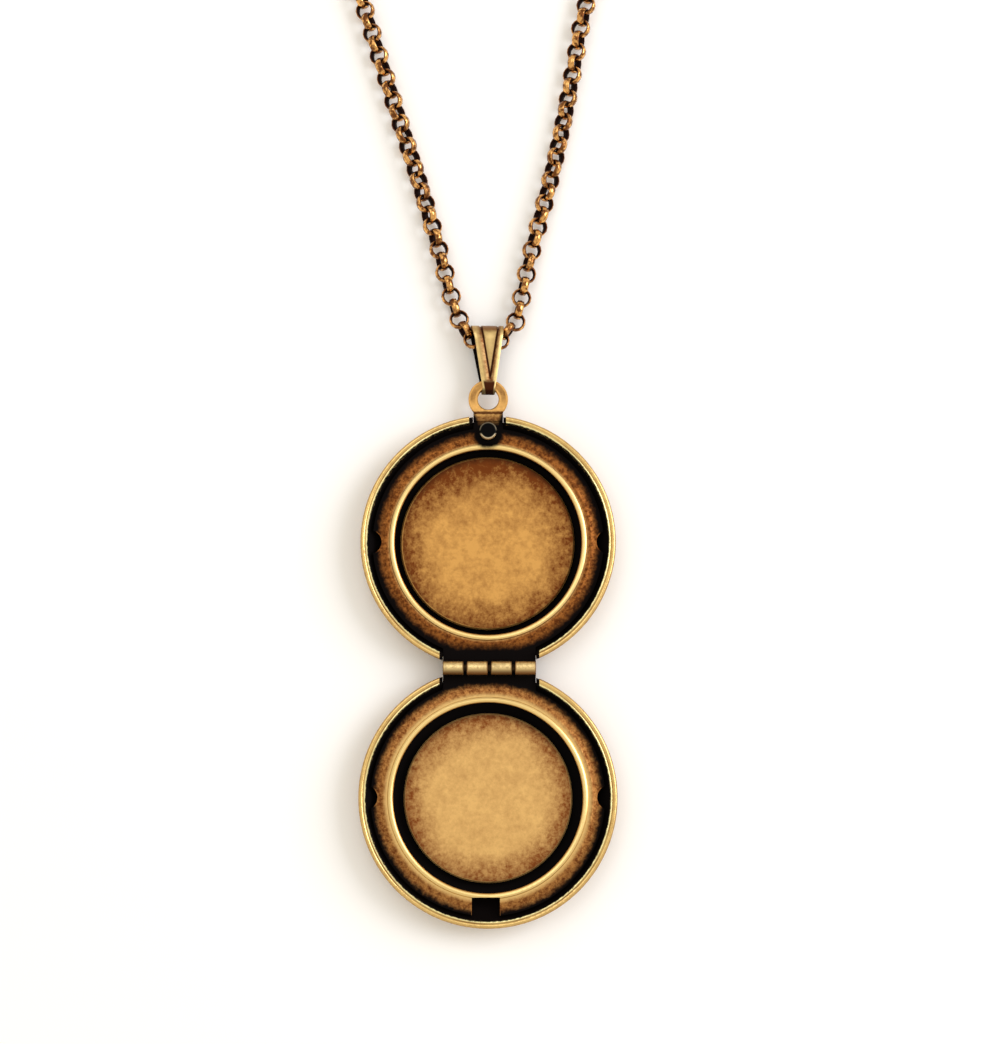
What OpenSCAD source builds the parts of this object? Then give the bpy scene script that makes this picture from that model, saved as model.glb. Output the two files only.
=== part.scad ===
// Round brass locket on a rolo chain, lying open flat on its two backs.
// Origin at the middle of the back cover's flat outer face, on the surface. +X to the wearer's
// left, +Y along the locket towards the loop, +Z up, away from the surface. Millimetres.

/* [Locket] */
// Outside diameter of each half over its rolled rim
case_d = 32.2; // [32:0.1:32.4]
// Height of the rim plane over the surface, which is half of the closed thickness
half_h = 3.8; // [3.7:0.05:4]
// Distance from the middle of each half to the hinge axis
hinge_out = 16.05; // [16:0.05:16.1]
// Thickness of the covers' sheet
cover_t = 0.5; // [0.4:0.05:0.6]
// Gap that is left between a rim and the rim plane, so that the closed rims just miss
rim_gap = 0.03; // [0.02:0.01:0.1]

/* [Plates] */
// Outside radius of the stamped plates
plate_r = 14.6; // [14.4:0.1:14.7]
// Thickness of the plates
plate_t = 0.4; // [0.35:0.05:0.45]
// Height of the plates' underside over the surface
plate_z = 2.2; // [2.1:0.05:2.3]
// Inside radius of the photo wells
well_r = 11.82; // [11.7:0.02:12]
// Radius of the raised bead's section
bead_r = 0.37; // [0.3:0.01:0.4]
// Radius of the photo disc in the back half
back_disc_r = 11.05; // [10.5:0.05:11.2]
// Radius of the photo disc in the front half
front_disc_r = 10.55; // [10:0.05:11.2]
// Height of the photo discs' faces over the surface
disc_top = 1.6; // [1.3:0.1:2]

/* [Hinge] */
// Outside radius of a knuckle
knuckle_r = 0.85; // [0.8:0.01:0.9]
// Length of a knuckle
knuckle_w = 2.57; // [2.4:0.01:2.6]
// Gap between two knuckles
knuckle_gap = 0.45; // [0.4:0.01:0.6]
// Radius of the hinge pin
pin_r = 0.45; // [0.4:0.01:0.46]
// Shift of the knuckles along the hinge axis
hinge_x = 0.17; // [-0.2:0.01:0.2]
// Width of the gap in the rims at the hinge
hinge_gap_w = 12.5; // [12.3:0.1:13]

/* [Loop and catch] */
// Distance from the middle of the back half to the middle of the loop ring
loop_y = 18.34; // [18.2:0.02:18.5]
// Outside radius of the loop ring
loop_r = 2.52; // [2.4:0.02:2.6]
// Radius of the hole in the loop ring
loop_hole_r = 1.33; // [1.3:0.01:1.4]
// Thickness of the loop ring
loop_t = 0.6; // [0.5:0.05:0.65]
// Width of the strip that carries the loop ring
strip_w = 3.75; // [3.5:0.05:3.9]
// Radius of the catch stud
stud_r = 1.1; // [1:0.05:1.15]
// Distance from the middle of the back half to the catch stud
stud_y = 13.85; // [13.8:0.05:13.9]
// Height of the stud's top over the surface
stud_top = 5.2; // [5.1:0.05:5.25]
// Width of the slot in the front plate
slot_w = 3.5; // [3.2:0.1:3.7]

/* [Bail] */
// Thickness of the bail's strap
strap_t = 0.35; // [0.3:0.05:0.4]
// Width of the bail over the chain
bail_top_w = 4.2; // [3.8:0.02:4.3]
// Width of the bail in the loop ring
bail_low_w = 1.64; // [1.5:0.02:1.66]
// How far the bail is rolled about its own length, in degrees
bail_roll = 7; // [5:0.5:8]
// How far the bail is turned on the surface, in degrees
bail_turn = 1; // [0:0.5:2]

/* [Chain] */
// Outside diameter of a link, and so of the chain
chain_d = 2.6; // [2.4:0.02:2.7]
// Longest step between two rings of the chain's tube
ring_step = 8; // [7:0.5:12]

/* [Hidden] */
fine = 96;
gold = [0.78, 0.62, 0.34];
brown_gold = [0.55, 0.40, 0.20];
dark = [0.16, 0.12, 0.08];

case_r = case_d / 2;
rim_top = half_h - rim_gap;
front_y = -2 * hinge_out;

// How far cutting shapes reach past what they cut, and joined shapes into each other
over = 1;
lap = 0.02;

// The covers' domed section: a flat, then an arc of this radius about a ring of this radius,
// whose lowest point would lie dome_sink below the flat
dome_ring_r = 9.5;
dome_r = 9.5;
dome_sink = 0.06;
dome_z = dome_r - dome_sink;

// Wall and rolled rim: two lobes with a line between them
wall_inside_r = 15.22;
wall_inset = 0.04;
outer_lobe_r = 0.31;
inner_lobe_r = 0.14;
rim_line_deep = 0.11;
rim_web = 0.2;

// Gaps cut in the rims: a wide cut down to rim_cut_z and a deeper one to cut_z where metal passes
rim_cut_z = 3;
cut_z = 2.1;
cut_y = 12.9;
side_gap = 0.06;
loop_gap_w = 4.7;
loop_gap_x = -0.08;

// Engraved lines of the front cover's outer face
line_rings = [8.1, 8.7, 11.9, 12.5, 14.2];
line_r = 0.14;
foil_r = 7.2;
foil_hub_r = 1.7;
foil_line_w = 0.2;
foil_depth = 0.12;

// Bead, wall and cove of the plates
bead_x = well_r + bead_r - lap;
bead_z = 2.78;
wall_low_z = 0.92;
wall_w = 0.42;
cove_r = 4;
cove_x = 14.27;
cove_z = 6.59;

// Photo discs
disc_t = 0.4;
disc_low_z = cover_t + 0.12;
disc_edge = 0.18;
back_disc_x = -0.1;

// Notches in the plates' outer edges: radius, and x of the two middles
notch_r = 1.5;
back_notch_x = [-14.96, 15.2];
front_notch_x = [-15.25, 15.1];

// Hinge plan, measured inwards from the hinge axis
knuckle_pitch = knuckle_w + knuckle_gap;
hinge_w = 4 * knuckle_w + 3 * knuckle_gap;
hinge_x0 = hinge_x - hinge_w / 2;
bore_r = pin_r + 0.05;
tab_edge = 0.35;
tab_in = 3.2;
pin_short = 0.1;

// Section of the tongue under a knuckle: distances from the axis and heights against it
tongue_low = -0.83;
tongue_top = -0.47;
tongue_plate_top = plate_z + plate_t - half_h;
tongue_plate_low = plate_z - half_h + 0.1;
tongue_section = [[0, tongue_low], [0, tongue_top], [0.4, tongue_top], [1.2, tongue_plate_top],
    [1.9, tongue_plate_top], [1.9, tongue_plate_low], [0.95, tongue_plate_low],
    [0.35, tongue_low]];

// Which of the four knuckles belong to each half
back_knuckles = [0, 2];
front_knuckles = [1, 3];

// Loop strip: where it starts, thickens and ends, and the crease across it
strip_in = 13;
neck_y = 15.5;
neck_lap = 0.4;
strip_end = 16.95;
crease_y = 16.55;
crease_w = 0.22;
loop_edge = 0.12;

// Catch stud: a narrow neck, then a head with an eased top; and the slot it meets
stud_gap = 0.12;
stud_neck_r = 0.5;
stud_neck_h = 0.35;
stud_flare = [0.12, 0.25];
stud_eased = [[0, 0.5], [0, 0.22], [0.08, 0.08], [0.24, 0]];
slot_x = -0.25;
slot_in = 12.3;
slot_len = 3;

// Bail: side view is two arcs and their common tangents; heights over the surface
bail_low_y = 19.95;
bail_low_z = 2.5;
bail_low_r = 1;
bail_top_y = 26.07;
bail_top_z = 2.2;
bail_top_r = 1.9;
arc_step = 9;
bail_shift = -0.05;
bail_reach = 8;
flare_y = [20.3, 27.97];
bail_y = [18, 28.9];
groove_deep = 0.18;
groove_side = groove_deep * sqrt(2);
groove_top_x = [-0.97, 1.4];
groove_low_x = 0.12;
groove_y = [21.05, 28.27];
groove_ends_z = [3.6, 4.06];

// Clasp, with a thin ring at each end and a thicker body between
clasp_y = 286;
clasp_x = -4;
eye_x = -4;
eye_hole_x = -4.4;
claw_x = 3;
eye_r = 1.7;
eye_hole_r = 0.8;
claw_r = 2.5;
claw_hole_r = 1.75;
end_t = 1.1;
body_x = -3;
body_size = [4.2, 2.6, 2.2];

// Route of the chain's middle, from one side of the clasp round to the other
chain_z = chain_d / 2;
route = [
    [-9.8, 286, chain_z], [-25, 281, chain_z], [-43, 268, chain_z], [-57, 247, chain_z],
    [-64, 222, chain_z], [-64, 196, chain_z], [-58, 170, chain_z], [-48, 145, chain_z],
    [-36, 120, chain_z], [-26, 97, chain_z], [-19, 79, chain_z], [-16.4, 71.2, chain_z],
    [-13.9, 63, chain_z], [-11.4, 55, chain_z], [-8.9, 47, chain_z], [-6.6, 39, chain_z],
    [-5.2, 33.6, chain_z], [-4.55, 31.3, chain_z], [-3.78, 29.05, 1.3], [-3.05, 27.95, 1.7],
    [-1.85, 26.42, 2.2], [-0.12, 26.12, 2.25], [1.58, 26.36, 2.05], [2.65, 27.65, 1.65],
    [3.5, 28.75, 1.3], [4.1, 31, chain_z], [4.6, 33.6, chain_z],
    [5.8, 39, chain_z], [7.9, 47, chain_z], [9.7, 55, chain_z], [11.2, 63, chain_z],
    [12.8, 71.2, chain_z], [19.5, 97, chain_z], [29, 121, chain_z], [40, 145, chain_z],
    [50, 170, chain_z], [56, 196, chain_z], [56, 222, chain_z], [49, 247, chain_z],
    [35, 268, chain_z], [17, 281, chain_z], [1.8, 286, chain_z]
];
tube_sides = 8;

// Where the chain runs through the bail its tube is drawn in to the width of one link's band
slim_y = 28.7;
slim_r = 0.38;

// Height of the covers' outer face at a distance from the middle
function dome_height(r) =
    r < dome_ring_r ? 0 : max(0, dome_z - sqrt(pow(dome_r, 2) - pow(r - dome_ring_r, 2)));

// Section of what lies above a cover's outer face moved in by skin
module bowl_area(skin, reach, top) {
    intersection() {
        translate([0, skin]) square([reach, top - skin]);
        union() {
            square([dome_ring_r, top + over]);
            translate([dome_ring_r, dome_z]) circle(r = dome_r - skin, $fn = fine);
        }
    }
}

// Section of a cover: dome, upright wall and a rim rolled into two lobes
module cover_area(rings) {
    outer_x = case_r - outer_lobe_r;
    inner_x = wall_inside_r + inner_lobe_r - lap;
    outer_z = rim_top - outer_lobe_r;
    difference() {
        union() {
            bowl_area(0, case_r - wall_inset, outer_z);
            translate([outer_x, outer_z]) circle(r = outer_lobe_r, $fn = 48);
            translate([wall_inside_r, outer_z - rim_web])
                square([outer_x - wall_inside_r, outer_lobe_r - rim_line_deep + rim_web]);
        }
        bowl_area(cover_t, wall_inside_r, half_h + over);
        for (r = rings)
            translate([r, dome_height(r)]) circle(r = line_r, $fn = 24);
    }
    translate([inner_x, rim_top - inner_lobe_r]) circle(r = inner_lobe_r, $fn = 12);
}

// Round line of the engraving, with its middle at radius r
module round_line(r) {
    difference() {
        circle(r = r + foil_line_w / 2, $fn = fine);
        circle(r = r - foil_line_w / 2, $fn = fine);
    }
}

// Six-petalled figure of compass arcs between a hub and a border, a traditional ornament
module sixfoil_lines() {
    difference() {
        intersection() {
            circle(r = foil_r, $fn = fine);
            for (a = [0 : 60 : 300])
                translate([foil_r * cos(a), foil_r * sin(a)]) round_line(foil_r);
        }
        circle(r = foil_hub_r, $fn = fine);
    }
    round_line(foil_r);
    round_line(foil_hub_r);
}

// What is cut from a rim beyond cut_y: from x0 to x1 and down to the height z
module rim_cut(x0, x1, z)
    translate([x0, cut_y, z]) cube([x1 - x0, case_r + over - cut_y, half_h]);

// A cover with its rim cut away at the hinge, which lies on the -Y side
module cover(rings = []) {
    difference() {
        rotate_extrude($fn = fine) cover_area(rings);
        mirror([0, 1, 0]) {
            rim_cut(hinge_x - hinge_gap_w / 2, hinge_x + hinge_gap_w / 2, rim_cut_z);
            rim_cut(hinge_x0 - side_gap, hinge_x0 + hinge_w + side_gap, cut_z);
        }
    }
}

module back_cover() color(gold) {
    difference() {
        cover();
        rim_cut(loop_gap_x - loop_gap_w / 2, loop_gap_x + loop_gap_w / 2, rim_cut_z);
        rim_cut(-strip_w / 2 - side_gap, strip_w / 2 + side_gap, cut_z);
    }
}

module front_cover() color(gold)
    translate([0, front_y, 0])
        mirror([0, 1, 0])
            difference() {
                cover(line_rings);
                translate([0, 0, foil_depth - half_h])
                    linear_extrude(height = half_h) sixfoil_lines();
            }

// Section of the raised collar: its wall, its round bead and the cove down to the plate
module collar_area() {
    difference() {
        union() {
            translate([bead_x, bead_z]) circle(r = bead_r, $fn = 48);
            translate([well_r, wall_low_z]) square([wall_w, bead_z - wall_low_z]);
            translate([well_r, plate_z + plate_t / 2])
                square([cove_x - well_r - lap, bead_z - plate_z - plate_t / 2]);
        }
        translate([cove_x, cove_z]) circle(r = cove_r, $fn = 64);
    }
}

// Flat of a plate, with the hinge tab on its -Y side
module plate_outline() {
    difference() {
        union() {
            circle(r = plate_r, $fn = fine);
            translate([hinge_x0, tab_edge - hinge_out]) square([hinge_w, tab_in]);
        }
        circle(r = well_r + wall_w / 2, $fn = fine);
    }
}

// One knuckle and the tongue that carries it, without its bore
module knuckle(index) {
    x0 = hinge_x0 + index * knuckle_pitch;
    translate([x0, -hinge_out, half_h])
        rotate([90, 0, 90]) {
            cylinder(r = knuckle_r, h = knuckle_w, $fn = fine);
            linear_extrude(height = knuckle_w) polygon(tongue_section);
        }
}

module hinge_bore()
    translate([hinge_x0 - over, -hinge_out, half_h])
        rotate([0, 90, 0]) cylinder(r = bore_r, h = hinge_w + 2 * over, $fn = fine);

// A half's stamped plate with its collar, knuckles and notches, hinge on the -Y side
module frame(knuckles, notch_x) {
    difference() {
        union() {
            translate([0, 0, plate_z]) linear_extrude(height = plate_t) plate_outline();
            rotate_extrude($fn = fine) collar_area();
            for (i = knuckles) knuckle(i);
        }
        hinge_bore();
        for (x = notch_x)
            translate([x, 0, plate_z - over / 2]) cylinder(r = notch_r, h = half_h, $fn = 48);
    }
}

// Flat ring with its edges eased, about the loop's middle
module loop_ring() {
    r0 = loop_hole_r;
    r1 = loop_r;
    e = loop_edge;
    rotate_extrude($fn = fine)
        polygon([[r0 + e, 0], [r1 - e, 0], [r1, e], [r1, loop_t - e], [r1 - e, loop_t],
            [r0 + e, loop_t], [r0, loop_t - e], [r0, e]]);
}

module loop_strip() {
    difference() {
        union() {
            translate([-strip_w / 2, strip_in, plate_z])
                cube([strip_w, neck_y - strip_in + neck_lap, plate_t]);
            translate([-strip_w / 2, neck_y, plate_z]) cube([strip_w, strip_end - neck_y, loop_t]);
        }
        translate([0, crease_y, plate_z + loop_t])
            rotate([45, 0, 0]) cube([loop_r * 2, crease_w, crease_w], center = true);
    }
}

module back_frame() color(gold) {
    frame(back_knuckles, back_notch_x);
    loop_strip();
    translate([0, loop_y, plate_z]) loop_ring();
}

module front_frame() color(gold)
    translate([0, front_y, 0])
        mirror([0, 1, 0])
            difference() {
                frame(front_knuckles, front_notch_x);
                translate([slot_x - slot_w / 2, slot_in, plate_z - over / 2])
                    cube([slot_w, slot_len, half_h]);
            }

// Pressed round plate with its edge turned down onto the cover's floor
module photo_disc(r) {
    rotate_extrude($fn = fine)
        polygon([[0, disc_top - disc_t], [r - disc_t, disc_top - disc_t], [r - disc_t, disc_low_z],
            [r, disc_low_z], [r, disc_top - disc_edge], [r - disc_edge, disc_top], [0, disc_top]]);
}

module back_photo_disc() color(brown_gold)
    translate([back_disc_x, 0, 0]) photo_disc(back_disc_r);

module front_photo_disc() color(gold)
    translate([0, front_y, 0]) photo_disc(front_disc_r);

module catch_stud() color(dark) {
    low = plate_z + plate_t + stud_gap;
    head = low + stud_neck_h;
    translate([0, stud_y, 0])
        rotate_extrude($fn = 64)
            polygon(concat(
                [[0, low], [stud_neck_r, low], [stud_neck_r, head],
                    [stud_r - stud_flare[0], head + stud_flare[1]]],
                [for (e = stud_eased) [stud_r - e[0], stud_top - e[1]]],
                [[0, stud_top]]));
}

module hinge_pin() color(dark)
    translate([hinge_x0 + pin_short, -hinge_out, half_h])
        rotate([0, 90, 0]) cylinder(r = pin_r, h = hinge_w - 2 * pin_short, $fn = 64);

// Points of the bail's side view, inset by skin: the long arc over the chain, then the short one
function bail_side(skin) =
    let (
        dy = bail_top_y - bail_low_y,
        dz = bail_top_z - bail_low_z,
        lean = atan2(dz, dy),
        open = acos((bail_low_r - bail_top_r) / norm([dy, dz]))
    )
    concat(
        [for (a = [-open : arc_step : open + 0.01])
            [bail_top_y + (bail_top_r - skin) * cos(lean + a),
                bail_top_z + (bail_top_r - skin) * sin(lean + a)]],
        [for (a = [open : arc_step : 360 - open + 0.01])
            [bail_low_y + (bail_low_r - skin) * cos(lean + a),
                bail_low_z + (bail_low_r - skin) * sin(lean + a)]]
    );

// A shallow V cut along the bail's front face, from one point to another
module groove(from, to) {
    way = to - from;
    translate(from)
        rotate([atan2(way[2], way[1]), 0, -atan2(way[0], way[1])])
            translate([0, norm(way) / 2, 0])
                rotate([0, 45, 0])
                    cube([groove_side, norm(way), groove_side], center = true);
}

module bail() color(gold)
    translate([bail_shift, bail_low_y, bail_top_z])
        rotate([0, bail_roll, bail_turn])
            translate([0, -bail_low_y, -bail_top_z])
                difference() {
                    intersection() {
                        translate([-bail_top_w, 0, 0])
                            rotate([90, 0, 90])
                                linear_extrude(height = 2 * bail_top_w)
                                    difference() {
                                        polygon(bail_side(0));
                                        polygon(bail_side(strap_t));
                                    }
                        translate([0, 0, -over])
                            linear_extrude(height = bail_reach)
                                polygon([
                                    [-bail_low_w / 2, bail_y[0]], [bail_low_w / 2, bail_y[0]],
                                    [bail_low_w / 2, flare_y[0]], [bail_top_w / 2, flare_y[1]],
                                    [bail_top_w / 2, bail_y[1]], [-bail_top_w / 2, bail_y[1]],
                                    [-bail_top_w / 2, flare_y[1]], [-bail_low_w / 2, flare_y[0]]]);
                    }
                    for (x = groove_top_x)
                        groove([groove_low_x, groove_y[0], groove_ends_z[0]],
                            [x, groove_y[1], groove_ends_z[1]]);
                }

// A smooth curve through the route's points, with steps no longer than ring_step
function on_curve(a, b, c, d, t) = 0.5 * (2 * b + (c - a) * t
    + (2 * a - 5 * b + 4 * c - d) * t * t + (3 * b - a - 3 * c + d) * t * t * t);
function route_at(i) = i < 0 ? 2 * route[0] - route[1]
    : i >= len(route) ? 2 * route[len(route) - 1] - route[len(route) - 2] : route[i];
function rings_in(i) = max(1, round(norm(route[i + 1] - route[i]) / ring_step));
centres = concat(
    [for (i = [0 : len(route) - 2], k = [0 : rings_in(i) - 1])
        on_curve(route_at(i - 1), route_at(i), route_at(i + 1), route_at(i + 2), k / rings_in(i))],
    [route[len(route) - 1]]);

function unit(v) = v / norm(v);
function tube_ring(i) =
    let (
        n = len(centres),
        ahead = unit(centres[min(i + 1, n - 1)] - centres[max(i - 1, 0)]),
        side = unit(cross(ahead, [0, 0, 1])),
        up = cross(side, ahead),
        r = centres[i][1] < slim_y ? slim_r : chain_z
    )
    [for (k = [0 : tube_sides - 1])
        centres[i] + r * (cos(k * 360 / tube_sides) * side + sin(k * 360 / tube_sides) * up)];

module chain() color(brown_gold) {
    n = len(centres);
    s = tube_sides;
    points = [for (i = [0 : n - 1]) each tube_ring(i)];
    sides = [for (i = [0 : n - 2], k = [0 : s - 1])
        [i * s + k, i * s + (k + 1) % s, (i + 1) * s + (k + 1) % s, (i + 1) * s + k]];
    first = [for (k = [s - 1 : -1 : 0]) k];
    last = [for (k = [0 : s - 1]) (n - 1) * s + k];
    polyhedron(points = points, faces = concat(sides, [first], [last]), convexity = 10);
}

module clasp() color(gold)
    translate([clasp_x, clasp_y, chain_z])
        difference() {
            union() {
                translate([eye_x, 0, -end_t / 2]) cylinder(r = eye_r, h = end_t, $fn = 48);
                translate([claw_x, 0, -end_t / 2]) cylinder(r = claw_r, h = end_t, $fn = 64);
                translate([body_x, -body_size[1] / 2, -body_size[2] / 2]) cube(body_size);
            }
            translate([eye_hole_x, 0, -end_t]) cylinder(r = eye_hole_r, h = 2 * end_t, $fn = 48);
            translate([claw_x, 0, -end_t * 1.5]) cylinder(r = claw_hole_r, h = 3 * end_t, $fn = 48);
        }

back_cover();
back_frame();
back_photo_disc();
catch_stud();
hinge_pin();
front_cover();
front_frame();
front_photo_disc();
bail();
chain();
clasp();
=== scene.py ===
"""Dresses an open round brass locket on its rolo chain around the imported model.

The locket lies open on a white table: the back half with the loop, the bail and the chain at the
top, the front half below the hinge. Sizes in the classes are millimetres, in the model's frame.
"""

import logging
import math
import random
from collections.abc import Callable, Sequence
from dataclasses import dataclass, field
from enum import Enum
from functools import cached_property, reduce

import bpy
from mathutils import Matrix, Vector
from mathutils.bvhtree import BVHTree


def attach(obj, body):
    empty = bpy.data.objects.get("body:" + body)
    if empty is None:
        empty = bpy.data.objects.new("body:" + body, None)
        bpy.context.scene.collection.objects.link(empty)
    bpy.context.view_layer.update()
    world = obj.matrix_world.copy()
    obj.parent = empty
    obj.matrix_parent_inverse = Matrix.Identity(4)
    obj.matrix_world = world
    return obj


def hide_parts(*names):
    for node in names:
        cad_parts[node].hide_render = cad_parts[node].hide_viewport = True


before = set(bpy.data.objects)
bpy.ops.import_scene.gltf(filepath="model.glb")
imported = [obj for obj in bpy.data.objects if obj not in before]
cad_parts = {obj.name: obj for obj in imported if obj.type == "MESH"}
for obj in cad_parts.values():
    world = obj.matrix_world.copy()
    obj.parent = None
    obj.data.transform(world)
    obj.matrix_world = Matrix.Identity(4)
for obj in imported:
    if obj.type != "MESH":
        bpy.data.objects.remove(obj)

LOG = logging.getLogger("locket")
MM = 0.001
# Points of a mesh that is made in millimetres count as level with each other within this.
NEAR = 0.001

Pair = tuple[float, float]
Point = tuple[float, float, float]
Colour = tuple[float, float, float, float]
Piece = bpy.types.Object
Socket = bpy.types.NodeSocket
Value = Socket | float | Sequence[float]
MeshItem = bpy.types.MeshVertex | bpy.types.MeshPolygon
# Where a mask begins and where it is full, or a share's least and greatest value. In a field's
# name, x, y, z and r say along what a mask runs, and a reach is counted from an edge or a line.
Band = Pair


def paint(red: int, green: int, blue: int) -> Colour:
    """Turns a display colour into the linear colour that a socket takes.

    Args:
        red: Red, 0 to 255.
        green: Green, 0 to 255.
        blue: Blue, 0 to 255.

    Returns:
        The linear colour with a full alpha.
    """
    def linear(part: int) -> float:
        """Undoes the display curve for one channel."""
        share = part / 255
        return share / 12.92 if share <= 0.04045 else ((share + 0.055) / 1.055) ** 2.4

    return (linear(red), linear(green), linear(blue), 1.0)


class Half(Enum):
    """The two halves of the case: body name and distance of the middle along Y in millimetres."""

    BACK = ("back_half", 0.0)
    FRONT = ("front_half", -32.1)

    @property
    def body(self) -> str:
        """Name of the moving body."""
        return self.value[0]

    @property
    def middle(self) -> Point:
        """Middle of the half in millimetres."""
        return (0.0, self.value[1], 0.0)

    @property
    def outward(self) -> float:
        """1 where the side away from the hinge lies at +Y, and -1 where it lies at -Y."""
        return 1.0 if self is Half.BACK else -1.0


class Slot(Enum):
    """Names of two material slots of the record; nothing in this script uses them."""

    BAIL = "bail_gold"
    CHAIN = "chain_copper"


class Pick(Enum):
    """What is selected on a piece: its points or its faces."""

    POINTS = "VERT"
    FACES = "FACE"


class Graph:
    """A node tree with short ways to add and join nodes."""

    def __init__(self, tree: bpy.types.NodeTree) -> None:
        """Keeps the tree.

        Args:
            tree: The node tree that nodes are added to.
        """
        self.tree = tree

    def node(self, kind: str, settings: dict[str, object] | None = None,
             inputs: dict[str | int, Value] | None = None) -> bpy.types.Node:
        """Adds a node and fills its inputs.

        Args:
            kind: The node's type name without its ShaderNode prefix.
            settings: Attributes of the node.
            inputs: Values or sockets for the inputs, by name or number.

        Returns:
            The new node.
        """
        made = self.tree.nodes.new("ShaderNode" + kind)
        for name, setting in (settings or {}).items():
            setattr(made, name, setting)
        for name, value in (inputs or {}).items():
            self.feed(made.inputs[name], value)
        return made

    def feed(self, target: Socket, value: Value) -> None:
        """Links a socket to an input, or sets the input's own value.

        Args:
            target: The input.
            value: A socket to link, or a value.
        """
        if isinstance(value, bpy.types.NodeSocket):
            self.tree.links.new(value, target)
        else:
            target.default_value = value

    def math(self, operation: str, first: Value, second: Value = 0.0,
             clamp: bool = False) -> Socket:
        """Adds a Math node.

        Args:
            operation: The node's operation.
            first: First value.
            second: Second value.
            clamp: Whether the result is held between 0 and 1.

        Returns:
            The result.
        """
        return self.node("Math", {"operation": operation, "use_clamp": clamp},
                         {0: first, 1: second}).outputs[0]

    def highest(self, *masks: Value) -> Socket:
        """Returns the highest of several masks."""
        return reduce(lambda found, mask: self.math("MAXIMUM", found, mask), masks)

    def product(self, *masks: Value) -> Socket:
        """Returns the product of several masks."""
        return reduce(lambda found, mask: self.math("MULTIPLY", found, mask), masks)

    def plus(self, first: Value, second: Value, clamp: bool = False) -> Socket:
        """Adds two values, and holds the sum between 0 and 1 if clamped."""
        return self.math("ADD", first, second, clamp)

    def minus(self, first: Value, second: Value, clamp: bool = False) -> Socket:
        """Takes the second value from the first, and holds the rest between 0 and 1 if clamped."""
        return self.math("SUBTRACT", first, second, clamp)

    def apart(self, value: Value, middle: Value) -> Socket:
        """How far a value lies from a middle, to either side."""
        return self.math("ABSOLUTE", self.minus(value, middle))

    def step(self, value: Value, start: float, end: float) -> Socket:
        """Rises smoothly from 0 to 1 between two values.

        Args:
            value: The value that is tested.
            start: Where the mask is 0. It may lie above end, and then the mask falls.
            end: Where the mask is 1.

        Returns:
            The mask.
        """
        low, high = min(start, end), max(start, end)
        rising = start < end
        return self.node("MapRange", {"interpolation_type": "SMOOTHSTEP"}, {
            "Value": value, "From Min": low, "From Max": high,
            "To Min": 0.0 if rising else 1.0, "To Max": 1.0 if rising else 0.0}).outputs[0]

    def edge(self, value: Value, base: float, reach: Band) -> Socket:
        """Rises smoothly from 0 to 1 beside a given value.

        Args:
            value: The value that is tested.
            base: The value that the two distances are counted from.
            reach: Distances from it where the mask is 0 and where it is 1.

        Returns:
            The mask.
        """
        return self.step(value, base + reach[0], base + reach[1])

    def line(self, value: Value, middle: float, reach: Band) -> Socket:
        """Marks a line with two soft edges.

        Args:
            value: The value across the line.
            middle: The line's middle.
            reach: Distances from the middle where the mask is 0 and where it is 1.

        Returns:
            The mask.
        """
        return self.product(self.edge(value, middle, (-reach[0], -reach[1])),
                            self.edge(value, middle, reach))

    def mix(self, share: Value, first: Value, second: Value) -> Socket:
        """Mixes two colours.

        Args:
            share: Share of the second colour.
            first: First colour.
            second: Second colour.

        Returns:
            The mixed colour.
        """
        # A Mix node keeps its colour sockets behind those for numbers and vectors.
        return self.node("Mix", {"data_type": "RGBA"}, {0: share, 6: first, 7: second}).outputs[2]

    def blend(self, share: Value, first: Value, second: Value) -> Socket:
        """Mixes two numbers.

        Args:
            share: Share of the second number.
            first: First number.
            second: Second number.

        Returns:
            The mixed number.
        """
        return self.node("Mix", {"data_type": "FLOAT"}, {0: share, 2: first, 3: second}).outputs[0]

    def noise(self, point: Value, scale: float, detail: float = 3.0, rough: float = 0.6,
              shift: Value = 0.0) -> Socket:
        """Adds a noise pattern of the fourth dimension, so that a shift gives another pattern.

        Args:
            point: The place in millimetres.
            scale: Patches in a millimetre.
            detail: Octaves.
            rough: How strong the finer octaves are.
            shift: The fourth coordinate.

        Returns:
            The noise, about 0.5 on average.
        """
        return self.node("TexNoise", {"noise_dimensions": "4D"}, {
            "Vector": point, "W": shift, "Scale": scale, "Detail": detail,
            "Roughness": rough}).outputs[0]


def new_group(name: str, inputs: Sequence[tuple[str, str, object]],
              outputs: Sequence[tuple[str, str]]) -> tuple[Graph, bpy.types.Node, bpy.types.Node]:
    """Starts a shader node group.

    Args:
        name: The group's name.
        inputs: Name, socket type and default value of each input.
        outputs: Name and socket type of each output.

    Returns:
        The group's graph, its input node and its output node.
    """
    tree = bpy.data.node_groups.new(name, "ShaderNodeTree")
    for label, kind, default in inputs:
        made = tree.interface.new_socket(name=label, in_out="INPUT", socket_type="NodeSocket" + kind)
        made.default_value = default
    for label, kind in outputs:
        tree.interface.new_socket(name=label, in_out="OUTPUT", socket_type="NodeSocket" + kind)
    return Graph(tree), tree.nodes.new("NodeGroupInput"), tree.nodes.new("NodeGroupOutput")


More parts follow.
